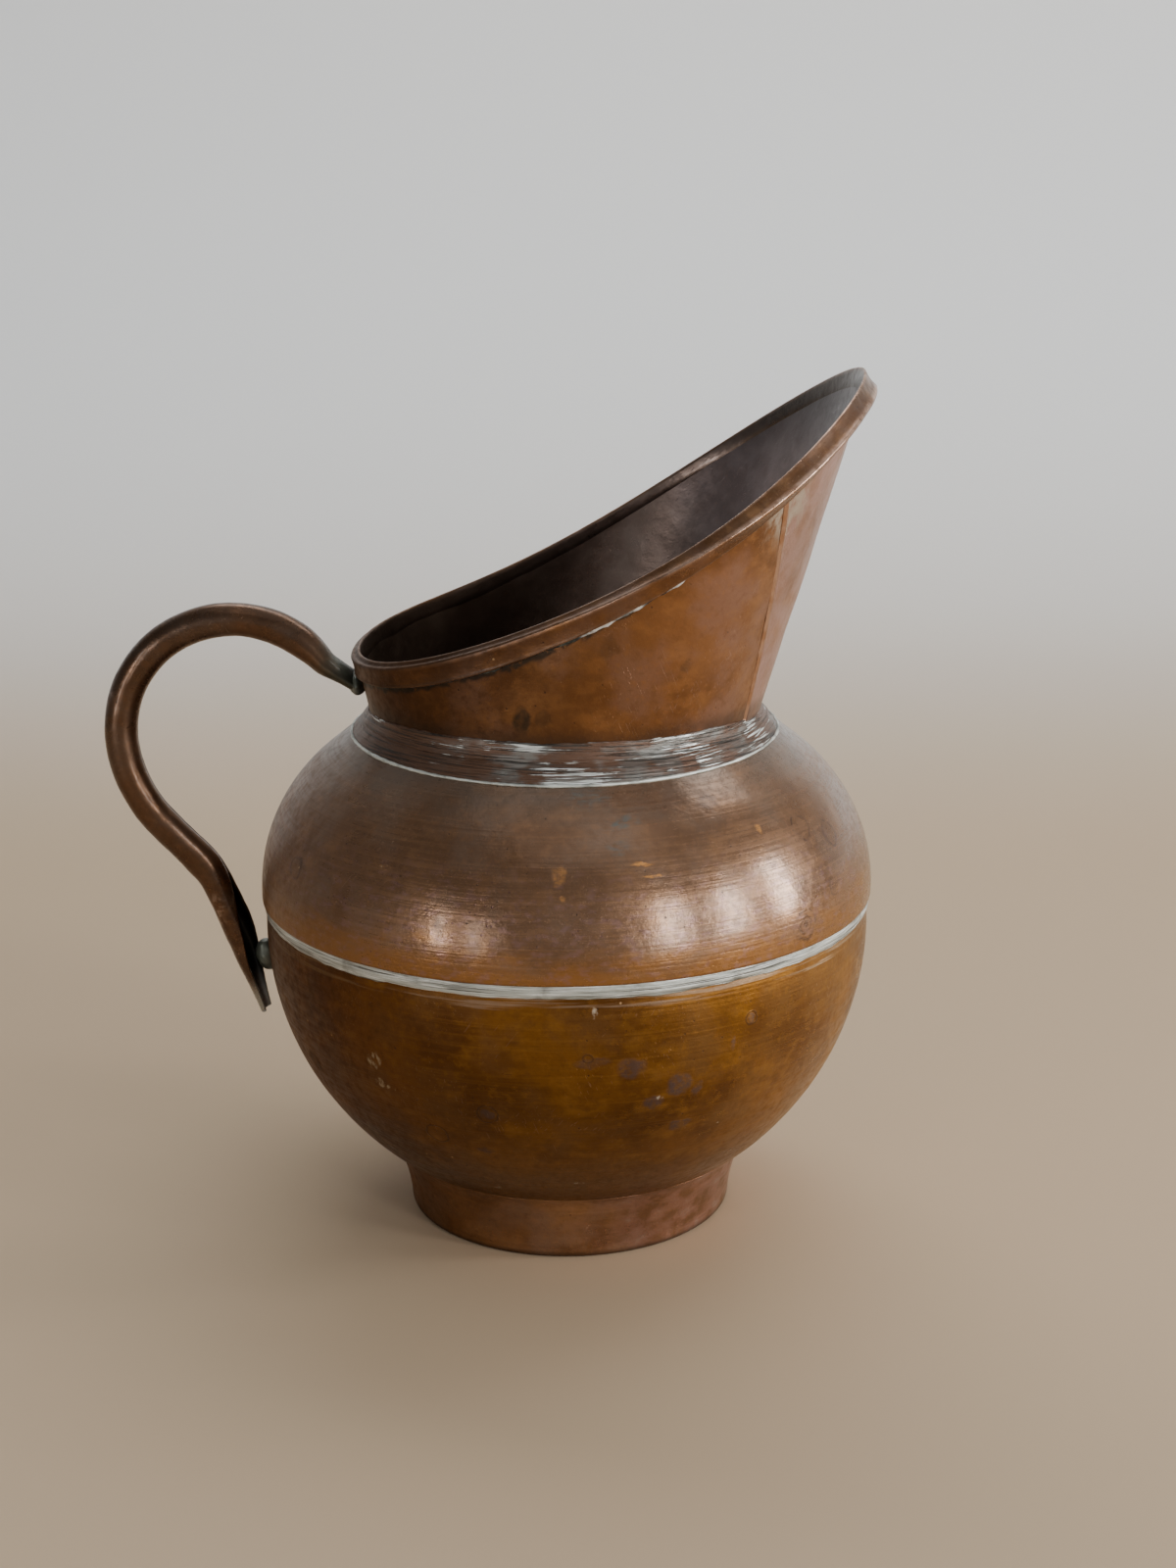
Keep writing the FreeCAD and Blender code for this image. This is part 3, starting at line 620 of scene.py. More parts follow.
def make_collar():
    """The flat cone of the collar, its face wiped over with streaks of tin."""
    angle = around(AROUND)
    base = collar_reach(angle)
    foot = shoulder_height(base) + 0.4
    rows = []
    for share in np.linspace(0, 1, 34):
        height = foot * (1 - share) + COLLAR_SHOULDER * share + 0.2 * math.sin(math.pi * share)
        rows.append((base * (1 - share) + COLLAR_TOP_RADIUS * share, height))
    face_rows = len(rows)
    tuck = NECK_RADIUS - 1.4 * SHEET
    rows += [(tuck, COLLAR_SHOULDER + 0.4), (tuck, COLLAR_HIGH[2]), (tuck - 0.9, COLLAR_HIGH[2]),
             (tuck - 0.9, COLLAR_SHOULDER - 0.3), (COLLAR_TOP_RADIUS - 0.9, COLLAR_SHOULDER - 0.7),
             (base - 2.5, shoulder_height(base - 2.5) + 0.05), (base, shoulder_height(base) + 0.05)]
    points = turned_rows(rows, angle)
    face = np.zeros((len(rows), 1))
    face[1:face_rows] = 1.0
    inside = np.zeros(points.shape[:2])
    inside[face_rows + 1:] = 1.0
    streaks = ripple(points * np.array([1.0, 1.0, 16.0]), 13.0, 51, 4)
    wiped = np.maximum(streaks, -0.1) * 0.25 * face
    return ring_piece("collar_band", pushed(points, wiped), {"inside": inside})


def make_collar_fillet():
    """Tin wiped into the joint of collar and neck, drawn high up the neck along its sides."""
    angle = around(2 * AROUND) - math.pi
    turn = np.degrees(angle)
    side = bump_between(turn, -142, -48, 30) + bump_between(turn, 60, 130, 30)
    climb = NECK_BASE + 0.3 + 2.1 * side
    path = neck_foot(angle)
    climb = climb + 0.35 * ripple(path, 14.0, 52) + 0.3 * ripple(path, 3.0, 53)
    crest, outward, _ = rim_axes(angle)

    def wall(height, out):
        """Radius of the neck's wall at a height, from its inner face at 0 to its outer at 1."""
        rise = ((height - NECK_BASE) / (crest[:, 2] - NECK_BASE))[:, None]
        place = neck_foot(angle, SHEET * (1 - out)) * (1 - rise)
        return np.linalg.norm((place + (crest + outward * SHEET * out) * rise)[:, :2], axis=-1)

    start = (COLLAR_TOP_RADIUS + 1.5, COLLAR_SHOULDER - 1.25)
    bend = (COLLAR_TOP_RADIUS + 0.25, COLLAR_SHOULDER + 0.4)
    end = (wall(climb, 1.35), climb)
    rows = []
    for share in np.linspace(0, 1, 12):
        radius, height = (start[i] * (1 - share) ** 2 + 2 * bend[i] * share * (1 - share)
                          + end[i] * share**2 for i in (0, 1))
        rows.append((radius, height))
    rows += [(wall(climb + 0.25, 0.9), climb + 0.25), (wall(climb, 0.6), climb),
             (NECK_RADIUS - 0.5, NECK_BASE + 0.05), (NECK_RADIUS - 0.5, COLLAR_SHOULDER - 0.3)]
    points = turned_rows(rows, angle)
    return ring_piece("collar_upper_fillet", points)


def make_collar_bead():
    """The thin uneven bead of solder along the collar's edge."""
    angle = around(2 * AROUND)
    core = collar_reach(angle) + 0.25
    path = neck_foot(angle)
    swell = 1 + 0.35 * ripple(path, 12.0, 71) + 0.3 * ripple(path, 3.0, 72)
    rows = round_rows(core, shoulder_height(core) + 0.25, 0.45 * swell, 10)
    return ring_piece("collar_lower_bead", turned_rows(rows, angle))


# ---- handle --------------------------------------------------------------------------


def turned(vector, angle):
    """A vector of the XZ plane turned from +X towards +Z."""
    return np.array([vector[0] * math.cos(angle) - vector[1] * math.sin(angle),
                     vector[0] * math.sin(angle) + vector[1] * math.cos(angle)])


HANDLE_ARC, HANDLE_REACH, HANDLE_RISE = 33.6, 96.5, 146.4
HANDLE_RADIUS, HANDLE_SHEET = 4.9, 0.8
HANDLE_PINCH, PINCH_LENGTH, OPEN_LENGTH = 0.5, 22.0, 48.0
LOWER_ARC, LOWER_BEND, STRAIGHT_RUN, LEAF_RUN = 40.4, 25.0, 18.0, 40.2
HANDLE_FIRST = math.radians(40.0)
HANDLE_SLOPE = math.radians(32.0)
ROOT_BEND = 10.0
ROOT_X = -(NECK_RADIUS + SHEET + 3.05)


def handle_start():
    """Where the handle's axis meets the neck, and the straight stub before the first bend."""
    steep = math.pi / 2 - HANDLE_FIRST
    across = HANDLE_ARC * math.cos(HANDLE_FIRST) - HANDLE_REACH
    height = HANDLE_ARC * math.sin(HANDLE_FIRST) + HANDLE_RISE
    across -= ROOT_BEND * (math.sin(HANDLE_SLOPE) - math.sin(steep))
    height -= ROOT_BEND * (math.cos(HANDLE_SLOPE) - math.cos(steep))
    lead = (ROOT_X - across) / math.cos(HANDLE_SLOPE)
    return np.array([ROOT_X, height - lead * math.sin(HANDLE_SLOPE)]), lead


HANDLE_START, HANDLE_LEAD = handle_start()
ROOT_TURN = HANDLE_SLOPE + HANDLE_FIRST - math.pi / 2

# The handle's axis as runs of (length, degrees of bend), from the neck to the leaf's tip.
HANDLE_RUNS = (
    (HANDLE_LEAD, 0.0), (ROOT_BEND * abs(ROOT_TURN), math.degrees(ROOT_TURN)),
    (HANDLE_ARC * math.radians(140.0), 140.0), (LOWER_ARC * math.radians(42.0), 42.0),
    (STRAIGHT_RUN, 0.0), (LOWER_BEND * math.radians(20.6), -20.6), (LEAF_RUN, 0.0),
)
HANDLE_LENGTH = sum(length for length, _ in HANDLE_RUNS)


def handle_place(distance):
    """Axis point and outward direction of the handle in the XZ plane."""
    place = HANDLE_START.copy()
    onward = np.array([-math.cos(HANDLE_SLOPE), math.sin(HANDLE_SLOPE)])
    left = distance
    for length, degrees in HANDLE_RUNS:
        used = min(left, length)
        if degrees:
            swing = math.radians(degrees) * used / length
            spoke = turned(onward, math.pi / 2) * (length / math.radians(degrees))
            place = place + spoke - turned(spoke, swing)
            onward = turned(onward, swing)
        else:
            place = place + onward * used
        left -= length
        if left <= 0:
            break
    return place, turned(onward, -math.pi / 2)


# How deep the leaf looks from the side, at shares of its length.
LEAF_SHARES = (-0.15, 0.0, 0.2, 0.35, 0.5, 0.7, 0.85, 1.0)
LEAF_DEPTHS = (9.8, 9.4, 8.6, 7.7, 6.6, 4.3, 3.2, 2.2)


def make_handle():
    """A tube rolled from sheet, its seam on the inner side opening into a long leaf."""
    stations, half_turn, wall = 320, 24, HANDLE_SHEET
    rings, inside, tinned = [], [], []
    for station in range(stations + 1):
        distance = HANDLE_LENGTH * station / stations
        place, outward = handle_place(distance)
        leaf = (distance - HANDLE_LENGTH + OPEN_LENGTH) / OPEN_LENGTH
        pinch = HANDLE_PINCH + (1 - HANDLE_PINCH) * float(smooth(distance / PINCH_LENGTH))
        swell = 1 + 0.06 * math.exp(-((leaf + 0.05) / 0.1) ** 2)
        wide = HANDLE_RADIUS * (2 - pinch) * (1 + 0.2 * float(smooth(leaf / 0.5)))
        wide *= 1 - 0.5 * float(smooth((leaf - 0.55) / 0.45))
        spread = 178 - 68 * float(smooth((leaf + 0.02) / 0.6))
        spread = math.radians(spread - 25 * float(smooth((leaf - 0.5) / 0.5)))
        across = float(np.interp(leaf, LEAF_SHARES, LEAF_DEPTHS))
        deep = swell * pinch * across / (1 - math.cos(spread))
        root = place + outward * HANDLE_RADIUS * pinch * (1 + 0.5 * (swell - 1))
        ring = []
        twist = 0.2 * float(smooth((leaf + 0.05) / 0.3))
        for depth, width, inset, way in ((deep, wide, 0.0, 1), (deep - wall, wide - wall, wall, -1)):
            for turn in np.linspace(-spread, spread, 2 * half_turn + 1)[::way]:
                inward = depth * math.cos(turn) - depth - inset + deep
                aside = width * math.sin(turn)
                inward, aside = turned((inward, aside), twist)
                spot = root + outward * (inward - deep)
                ring.append((spot[0], aside, spot[1]))
        rings.append(ring)
        count = 2 * half_turn + 1
        inside.append([0.0] * count + [1.0] * count)
        tinned.append([float(smooth((leaf - 0.72) / 0.2))] * (2 * count))
    points = np.array(rings)
    shake = np.stack([ripple(points, 16.0, seed) * 0.22 for seed in (21, 22, 23)], -1)
    dings = ripple(points, 6.0, 24)[..., None] * 0.06
    values = {"inside": np.array(inside), "tin": np.array(tinned)}
    return bar_piece("handle_tube_rolled", points + shake + dings, values)


def make_handle_root_solder():
    """The collar of solder that holds the pinched end of the handle under the rim."""
    centre = (HANDLE_START[0] + 1.0, 0.0, HANDLE_START[1] - 0.2)
    return lump_piece("handle_root_lump", centre, (2.5, 8.2, 3.5), 61, 0.5)


def make_leaf_solder():
    """The lump of solder between the leaf and the bowl."""
    middle = 77.0

    def against_bowl(points):
        """Points shifted so that the lump follows the bowl's side."""
        skin = np.array([bowl_radius(height) for height in points[:, 2]])
        moved = points.copy()
        moved[:, 0] -= skin - bowl_radius(middle)
        return moved

    centre = (-bowl_radius(middle) - 2.4, 0.8, middle)
    return lump_piece("leaf_solder_lump", centre, (3.2, 3.4, 4.8), 62, 0.5, against_bowl)


# ---- materials -----------------------------------------------------------------------


class Surface:
    """Builds the nodes of one material in the object's own millimetre frame."""

    def __init__(self, name):
        self.material = bpy.data.materials.new(name)
        self.material.use_nodes = True
        self.tree = self.material.node_tree
        self.shader = self.tree.nodes["Principled BSDF"]
        self.place = self.add("ShaderNodeTexCoord").outputs["Object"]
        self.seed = 0
        self.colour = self.normal = None

    def add(self, kind, **settings):
        node = self.tree.nodes.new(kind)
        for key, value in settings.items():
            setattr(node, key, value)
        return node

    def feed(self, socket, value):
        if isinstance(value, bpy.types.NodeSocket):
            self.tree.links.new(value, socket)
        elif isinstance(value, tuple) and len(value) == 3 and socket.type == "RGBA":
            socket.default_value = (*value, 1.0)
        else:
            socket.default_value = value

    def maths(self, kind, first, second=0.0):
        node = self.add("ShaderNodeMath", operation=kind)
        for socket, value in zip(node.inputs, (first, second, 0.0)):
            self.feed(socket, value)
        return node.outputs[0]

    def times(self, first, second):
        return self.maths("MULTIPLY", first, second)

    def plus(self, first, second):
        return self.maths("ADD", first, second)

    def most(self, first, second):
        return self.maths("MAXIMUM", first, second)

    def noise(self, size, stretch=(1, 1, 1), detail=3.0, turn=None):
        """Noise about 0.5 with features of a size in millimetres, finer along stretched axes."""
        self.seed += 1
        place = self.place
        if turn:
            spin = self.add("ShaderNodeVectorRotate", rotation_type="EULER_XYZ")
            self.feed(spin.inputs["Vector"], place)
            spin.inputs["Rotation"].default_value = turn
            place = spin.outputs[0]
        scaled = self.add("ShaderNodeMapping")
        self.feed(scaled.inputs["Vector"], place)
        scaled.inputs["Scale"].default_value = stretch
        scaled.inputs["Location"].default_value = (0.71 * self.seed, -0.37 * self.seed, 0.13)
        texture = self.add("ShaderNodeTexNoise")
        self.feed(texture.inputs["Vector"], scaled.outputs[0])
        texture.inputs["Scale"].default_value = 1.0 / (size * MM)
        texture.inputs["Detail"].default_value = detail
        texture.inputs["Roughness"].default_value = 0.55
        return texture.outputs[0]

    def step(self, value, low, high, start=0.0, end=1.0):
        """A smooth change from start to end as the value goes from low to high."""
        node = self.add("ShaderNodeMapRange", interpolation_type="SMOOTHSTEP")
        for socket, entry in zip(node.inputs, (value, low, high, start, end)):
            self.feed(socket, entry)
        return node.outputs[0]

    def mix(self, share, first, second, kind="MIX"):
        node = self.add("ShaderNodeMix", data_type="RGBA", blend_type=kind)
        self.feed(node.inputs[0], share)
        self.feed(node.inputs[6], first)
        self.feed(node.inputs[7], second)
        return node.outputs[2]

    def point(self, name):
        return self.add("ShaderNodeAttribute", attribute_name=name).outputs["Fac"]

    def measure(self, axis, place):
        """A place's distance along one axis, in millimetres."""
        split = self.add("ShaderNodeSeparateXYZ")
        self.feed(split.inputs[0], place)
        return self.maths("DIVIDE", split.outputs[axis], MM)

    def height(self):
        return self.measure("Z", self.place)

    def along(self):
        """The place along X in millimetres, wandering a little so that no edge is straight."""
        return self.measure("X", self.ragged(12.0, 22.0))

    def ragged(self, amount=2.0, size=5.0):
        """The place with a wobble in millimetres, so that marks have uneven edges."""
        self.seed += 1
        texture = self.add("ShaderNodeTexNoise")
        self.feed(texture.inputs["Vector"], self.place)
        texture.inputs["Scale"].default_value = 1.0 / (size * MM)
        texture.inputs["Detail"].default_value = 4.0
        shift = self.add("ShaderNodeVectorMath", operation="SUBTRACT")
        self.feed(shift.inputs[0], texture.outputs["Color"])
        shift.inputs[1].default_value = (0.5, 0.5, 0.5)
        moved = self.add("ShaderNodeVectorMath", operation="MULTIPLY_ADD")
        self.feed(moved.inputs[0], shift.outputs[0])
        moved.inputs[1].default_value = (2 * amount * MM,) * 3
        self.feed(moved.inputs[2], self.place)
        return moved.outputs[0]

    def distance(self, spot, place, tall=1.0):
        """Distance in millimetres to a spot, with heights counted tall times shorter."""
        squeeze = (1.0, 1.0, 1.0 / tall)
        scaled = self.add("ShaderNodeVectorMath", operation="MULTIPLY")
        self.feed(scaled.inputs[0], place)
        scaled.inputs[1].default_value = squeeze
        gap = self.add("ShaderNodeVectorMath", operation="DISTANCE")
        self.feed(gap.inputs[0], scaled.outputs[0])
        gap.inputs[1].default_value = tuple(c * MM * s for c, s in zip(spot, squeeze))
        return self.maths("DIVIDE", gap.outputs["Value"], MM)

    def spots(self, spots, place, soft=0.45):
        """The union of round marks, each a (spot, radius, tall, strength)."""
        total = 0.0
        for spot, radius, tall, strength in spots:
            mark = self.step(self.distance(spot, place, tall), radius * (1 - soft), radius,
                             strength, 0.0)
            total = self.most(mark, total)
        return total

    def rings(self, spots, place, width=0.5):
        """Thin rings such as dried drops leave, each a (spot, radius)."""
        total = 0.0
        for spot, radius in spots:
            gap = self.maths("ABSOLUTE", self.maths("SUBTRACT", self.distance(spot, place), radius))
            total = self.most(self.step(gap, 0.0, width, 1.0, 0.0), total)
        return total

    def cells(self, size, low, high):
        """Small scattered dots: 1 inside a dot, in millimetres from its middle."""
        texture = self.add("ShaderNodeTexVoronoi")
        self.feed(texture.inputs["Vector"], self.place)
        texture.inputs["Scale"].default_value = 1.0 / (size * MM)
        dots = self.step(texture.outputs["Distance"], low, high, 1.0, 0.0)
        split = self.add("ShaderNodeSeparateColor")
        self.feed(split.inputs[0], texture.outputs["Color"])
        return dots, split.outputs[0]

    def scratches(self, turn, size=14.0, fine=34.0, low=0.69):
        """Sparse thin scratches along one direction, gathered in patches."""
        lines = self.noise(size, (1, fine, fine), 1.0, turn)
        patches = self.noise(26.0, detail=2.0)
        marks = self.step(lines, low, low + 0.03)
        return self.times(marks, self.step(patches, 0.5, 0.62))

    def tint(self, share, tone, kind="MIX"):
        """Lays a tone over the colour so far."""
        self.colour = self.mix(share, self.colour, tone, kind)

    def roughen(self, amount):
        self.rough = self.plus(self.rough, amount)

    def relief(self, height, depth):
        """Adds relief of a depth in millimetres."""
        node = self.add("ShaderNodeBump")
        node.inputs["Distance"].default_value = depth * MM
        self.feed(node.inputs["Height"], height)
        if self.normal is not None:
            self.feed(node.inputs["Normal"], self.normal)
        self.normal = node.outputs[0]

    def finish(self, metallic, roughness):
        """Joins everything to the shader and gives the finished material."""
        for name, value in (("Base Color", self.colour), ("Metallic", metallic),
                            ("Roughness", roughness), ("Normal", self.normal)):
            self.feed(self.shader.inputs[name], value)
        return self.material


def on_belly(turn, height):
    """A place on the belly's outside: degrees from the lip towards the far side, and height."""
    if height > SEAM_HEIGHT:
        radius = DOME_REACH + math.sqrt(DOME_ARC**2 - (height - DOME_CENTRE) ** 2)
    else:
        radius = bowl_radius(height)
    angle = math.radians(turn)
    return (radius * math.cos(angle), radius * math.sin(angle), height)


def belly_marks(*marks):
    """Marks on the belly, each given as (degrees, height, sizes...)."""
    return [(on_belly(turn, height), *sizes) for turn, height, *sizes in marks]


def copper(name, deep, mid, warm, bloom, spun=0.0, gloss=0.3, veil=0.2, extra=None,
           metallic=0.85, painted_shade_side=None, painted_light_side=None):
    """Aged copper: brown patina in cloudy patches over warmer metal, with scuffs and specks.

    A side is (X where it starts, X where it is full, tint): painted shade that makes the whole
    piece darker towards the handle, and painted light that makes it brighter towards the lip.
    """
    s = Surface(name)
    s.metallic = metallic
    clouds = s.noise(30.0, detail=4.0)
    patches = s.noise(9.0, (1, 1, 1.8), 6.0)
    mottle = s.noise(2.4, detail=5.0)
    grain = s.noise(0.7, detail=2.0)
    s.colour = s.mix(s.step(clouds, 0.36, 0.62), deep, mid)
    s.tint(s.step(patches, 0.48, 0.7, 0.0, 0.6), warm)
    haze = s.step(s.noise(19.0, detail=6.0), 0.44, 0.66, 0.0, 0.8)
    s.tint(haze, bloom)
    s.tint(s.step(mottle, 0.5, 0.7, 0.0, 0.45), deep)
    s.tint(s.step(mottle, 0.46, 0.34, 0.0, 0.3), warm)
    s.rough = s.plus(s.step(clouds, 0.3, 0.7, gloss - 0.03, gloss + 0.07),
                     s.step(mottle, 0.4, 0.7, 0.0, 0.12))
    s.relief(s.noise(4.0, detail=4.0), 0.12)
    s.relief(grain, 0.025)
    if spun:
        lines = s.noise(45.0, (1, 1, 70), 4.0)
        broad = s.noise(60.0, (1, 1, 24), 3.0)
        s.tint(s.step(lines, 0.52, 0.72, 0.0, 0.4 * spun), warm)
        s.tint(s.step(lines, 0.46, 0.3, 0.0, 0.4 * spun), deep)
        s.tint(s.step(broad, 0.5, 0.3, 0.0, 0.4 * spun), deep)
        s.relief(lines, 0.09 * spun)
        s.roughen(s.step(lines, 0.4, 0.6, -0.03, 0.04))
    pits, chance = s.cells(2.6, 0.06, 0.14)
    pits = s.times(pits, s.step(chance, 0.84, 0.86))
    dusty, chance_two = s.cells(8.0, 0.025, 0.05)
    dusty = s.times(dusty, s.step(chance_two, 0.62, 0.64))
    s.tint(s.times(pits, 0.7), (0.02, 0.012, 0.01))
    s.tint(dusty, (0.6, 0.4, 0.22))
    scuffs = s.most(s.scratches((0.3, 0.9, 0.4)), s.scratches((1.2, 0.2, 1.9)))
    s.tint(s.times(scuffs, 0.16), (0.5, 0.33, 0.24))
    s.relief(s.plus(pits, scuffs), -0.04)
    if extra:
        extra(s)
    along = s.along()
    # painted light: brightens the whole piece towards the lip
    if painted_light_side:
        s.tint(s.step(along, *painted_light_side[:2]), painted_light_side[2], "MULTIPLY")
    # painted shade: darkens the whole piece towards the handle, which is also made rougher there
    if painted_shade_side:
        shaded_and_dull = s.step(along, *painted_shade_side[:2])
        s.tint(shaded_and_dull, painted_shade_side[2], "MULTIPLY")
        s.roughen(s.times(shaded_and_dull, 0.16))
        veil = s.times(s.step(along, painted_shade_side[1], painted_shade_side[0], 0.3, 1.0), veil)
    s.feed(s.shader.inputs["Coat Weight"], veil)
    s.feed(s.shader.inputs["Coat Roughness"], 0.14)
    return s.finish(s.metallic, s.rough)


def bowl_marks(s):
    """Oxide blotches, drop rings and white scrapes on the lower bowl."""
    place = s.ragged(2.4, 5.0)
    blots = s.spots(belly_marks(
        (-79.3, 74.7, 5.0, 0.7, 0.75), (-70.0, 68.0, 4.2, 1.0, 0.9), (-74.4, 63.0, 4.0, 0.7, 0.85),
        (-68.3, 53.5, 3.8, 0.6, 0.8), (-66.0, 65.5, 2.4, 1.2, 0.7), (-56.1, 83.9, 1.5, 1.2, 0.9),
        (-59.7, 77.5, 1.4, 2.2, 0.7), (-105.4, 59.4, 3.0, 0.7, 0.7), (-107.3, 45.1, 2.6, 0.6, 0.6),
        (-86.0, 77.0, 5.5, 0.35, 0.5), (-150.0, 60.0, 5.0, 0.8, 0.6), (-20.0, 70.0, 5.0, 0.8, 0.6),
        (40.0, 58.0, 6.0, 0.8, 0.6), (95.0, 74.0, 5.0, 0.9, 0.7), (140.0, 52.0, 5.5, 0.7, 0.6),
    ), place)
    grainy = s.step(s.noise(1.8, detail=5.0), 0.36, 0.58, 0.35, 1.0)
    s.tint(s.times(blots, grainy), (0.085, 0.055, 0.05))
    rims = s.rings(belly_marks((-86.7, 78.4, 1.3), (-117.4, 49.2, 3.4), (-56.1, 83.9, 1.9),
                               (-105.4, 59.4, 3.0)), s.ragged(0.7, 3.0), 0.45)
    s.tint(s.times(rims, 0.5), (0.04, 0.025, 0.02))
    torn = s.step(s.noise(1.5, (1.4, 1.4, 0.5), 6.0), 0.44, 0.6)
    white = s.spots(belly_marks(
        (-127.6, 70.8, 2.6, 1.5, 0.9), (-127.6, 63.7, 2.0, 0.7, 0.8), (-125.2, 62.6, 1.8, 0.5, 0.9),
        (-88.1, 32.6, 2.2, 0.45, 0.8), (-109.0, 27.5, 1.8, 1.0, 0.7), (-85.2, 91.2, 1.1, 1.8, 0.9),
        (-59.5, 50.4, 0.8, 1.0, 1.0), (-73.0, 64.5, 1.4, 0.6, 0.6), (60.0, 66.0, 2.6, 1.4, 0.8),
        (170.0, 44.0, 2.0, 0.6, 0.8),
    ), s.ragged(2.2, 3.0))
    white = s.times(white, torn)
    s.tint(white, (0.5, 0.43, 0.34))
    height = s.height()
    smear = s.times(s.step(height, 90.8, 92.4), s.noise(30.0, (1, 1, 26), 3.0))
    s.tint(s.step(smear, 0.46, 0.62, 0.0, 0.6), (0.3, 0.22, 0.16))
    low = s.step(height, 46.0, 22.0, 0.0, 0.5)
    s.tint(low, (0.1, 0.042, 0.01))
    s.roughen(s.times(s.most(blots, white), 0.2))
    s.relief(s.most(blots, rims), 0.06)


def dome_marks(s):
    """Tin haze under the collar, warmer metal by the seam, drop rings and scraped lines."""
    height = s.height()
    ragged = s.noise(16.0, (1, 1, 3), 4.0)
    warm_edge = s.plus(height, s.times(ragged, -26.0))
    s.tint(s.step(warm_edge, 98.0, 87.0, 0.0, 0.85), (0.27, 0.115, 0.025))
    top_edge = s.plus(height, s.times(ragged, 18.0))
    s.tint(s.step(top_edge, 144.0, 159.0, 0.0, 0.7), (0.12, 0.095, 0.075))
    place = s.ragged(2.0, 4.5)
    rims = s.rings(belly_marks(
        (-43.7, 106.3, 2.4), (-43.7, 106.3, 4.2), (-33.0, 113.0, 2.6), (-28.3, 125.5, 3.4),
        (-36.9, 130.2, 3.4), (48.0, 110.0, 3.6), (-150.0, 118.0, 3.0), (120.0, 124.0, 3.8),
    ), place, 0.8)
    cores = s.spots(belly_marks(
        (-43.7, 106.3, 1.6, 1.0, 0.8), (-33.0, 113.0, 2.4, 1.2, 0.8), (-28.3, 125.5, 2.8, 1.0, 0.35),
        (-57.2, 140.7, 4.5, 0.5, 0.7), (80.0, 130.0, 5.0, 0.6, 0.6),
    ), place)
    old = s.times(s.most(rims, cores), s.step(s.noise(3.5, detail=4.0), 0.35, 0.6, 0.1, 0.6))
    s.tint(old, (0.035, 0.024, 0.024))
    blue = s.spots(belly_marks(
        (-77.8, 138.5, 5.6, 0.42, 0.85), (-84.9, 143.9, 8.0, 0.4, 0.6), (-80.0, 133.5, 4.5, 0.5, 0.5),
        (100.0, 140.0, 8.0, 0.4, 0.6),
    ), s.ragged(3.5, 4.0), 0.8)
    fleck = s.step(s.noise(2.2, (1, 1, 3), 5.0), 0.42, 0.58)
    s.tint(s.times(blue, fleck), (0.12, 0.135, 0.125))
    orange = s.spots(belly_marks(
        (-91.5, 127.5, 2.2, 2.2, 0.5), (-90.6, 122.0, 1.3, 1.2, 0.6), (-48.5, 132.5, 1.4, 1.8, 0.8),
        (-75.5, 129.4, 3.6, 0.14, 1.0), (-74.0, 126.5, 3.4, 0.14, 1.0),
    ), s.ragged(1.6, 3.0))
    s.tint(s.times(orange, s.step(fleck, 0.0, 0.6, 0.4, 1.0)), (0.6, 0.27, 0.08))
    purple = s.step(s.noise(3.0, (1, 1, 2.0), 6.0), 0.5, 0.66, 0.0, 0.35)
    sides = s.step(height, 134.0, 118.0)
    s.tint(s.times(purple, sides), (0.27, 0.15, 0.15))
    pin, chance = s.cells(1.5, 0.1, 0.22)
    pin = s.times(pin, s.step(chance, 0.62, 0.66))
    pin = s.times(pin, s.times(sides, s.step(s.noise(13.0), 0.5, 0.6)))
    s.tint(s.times(pin, 0.85), (0.07, 0.02, 0.04))
    s.relief(pin, -0.03)


def foot_marks(s):
    """The foot has painted shade on the handle's side and is pinkish and rubbed towards the lip."""
    side = s.plus(s.measure("X", s.place), s.times(s.noise(14.0, detail=4.0), 40.0))
    pink = s.step(side, 16.0, 50.0, 0.0, 0.75)
    patch = s.noise(7.0, (1, 1, 1.5), 6.0)
    pale = s.mix(s.step(patch, 0.36, 0.56), (0.17, 0.08, 0.035), (0.3, 0.155, 0.11))
    pale = s.mix(s.step(patch, 0.56, 0.7), pale, (0.36, 0.25, 0.2))
    s.tint(pink, pale)
    low = s.step(s.height(), 2.4, 0.6, 0.0, 0.7)
    s.tint(low, (0.05, 0.03, 0.018))


def inner_brown(s, cloud):
    """The grey-brown bloom inside the neck, darker where it nears the lip."""
    tone = s.mix(s.step(cloud, 0.35, 0.7), (0.18, 0.125, 0.1), (0.24, 0.175, 0.145))
    return s.mix(s.step(s.height(), 208.0, 240.0, 0.0, 0.85), tone, (0.05, 0.042, 0.037))


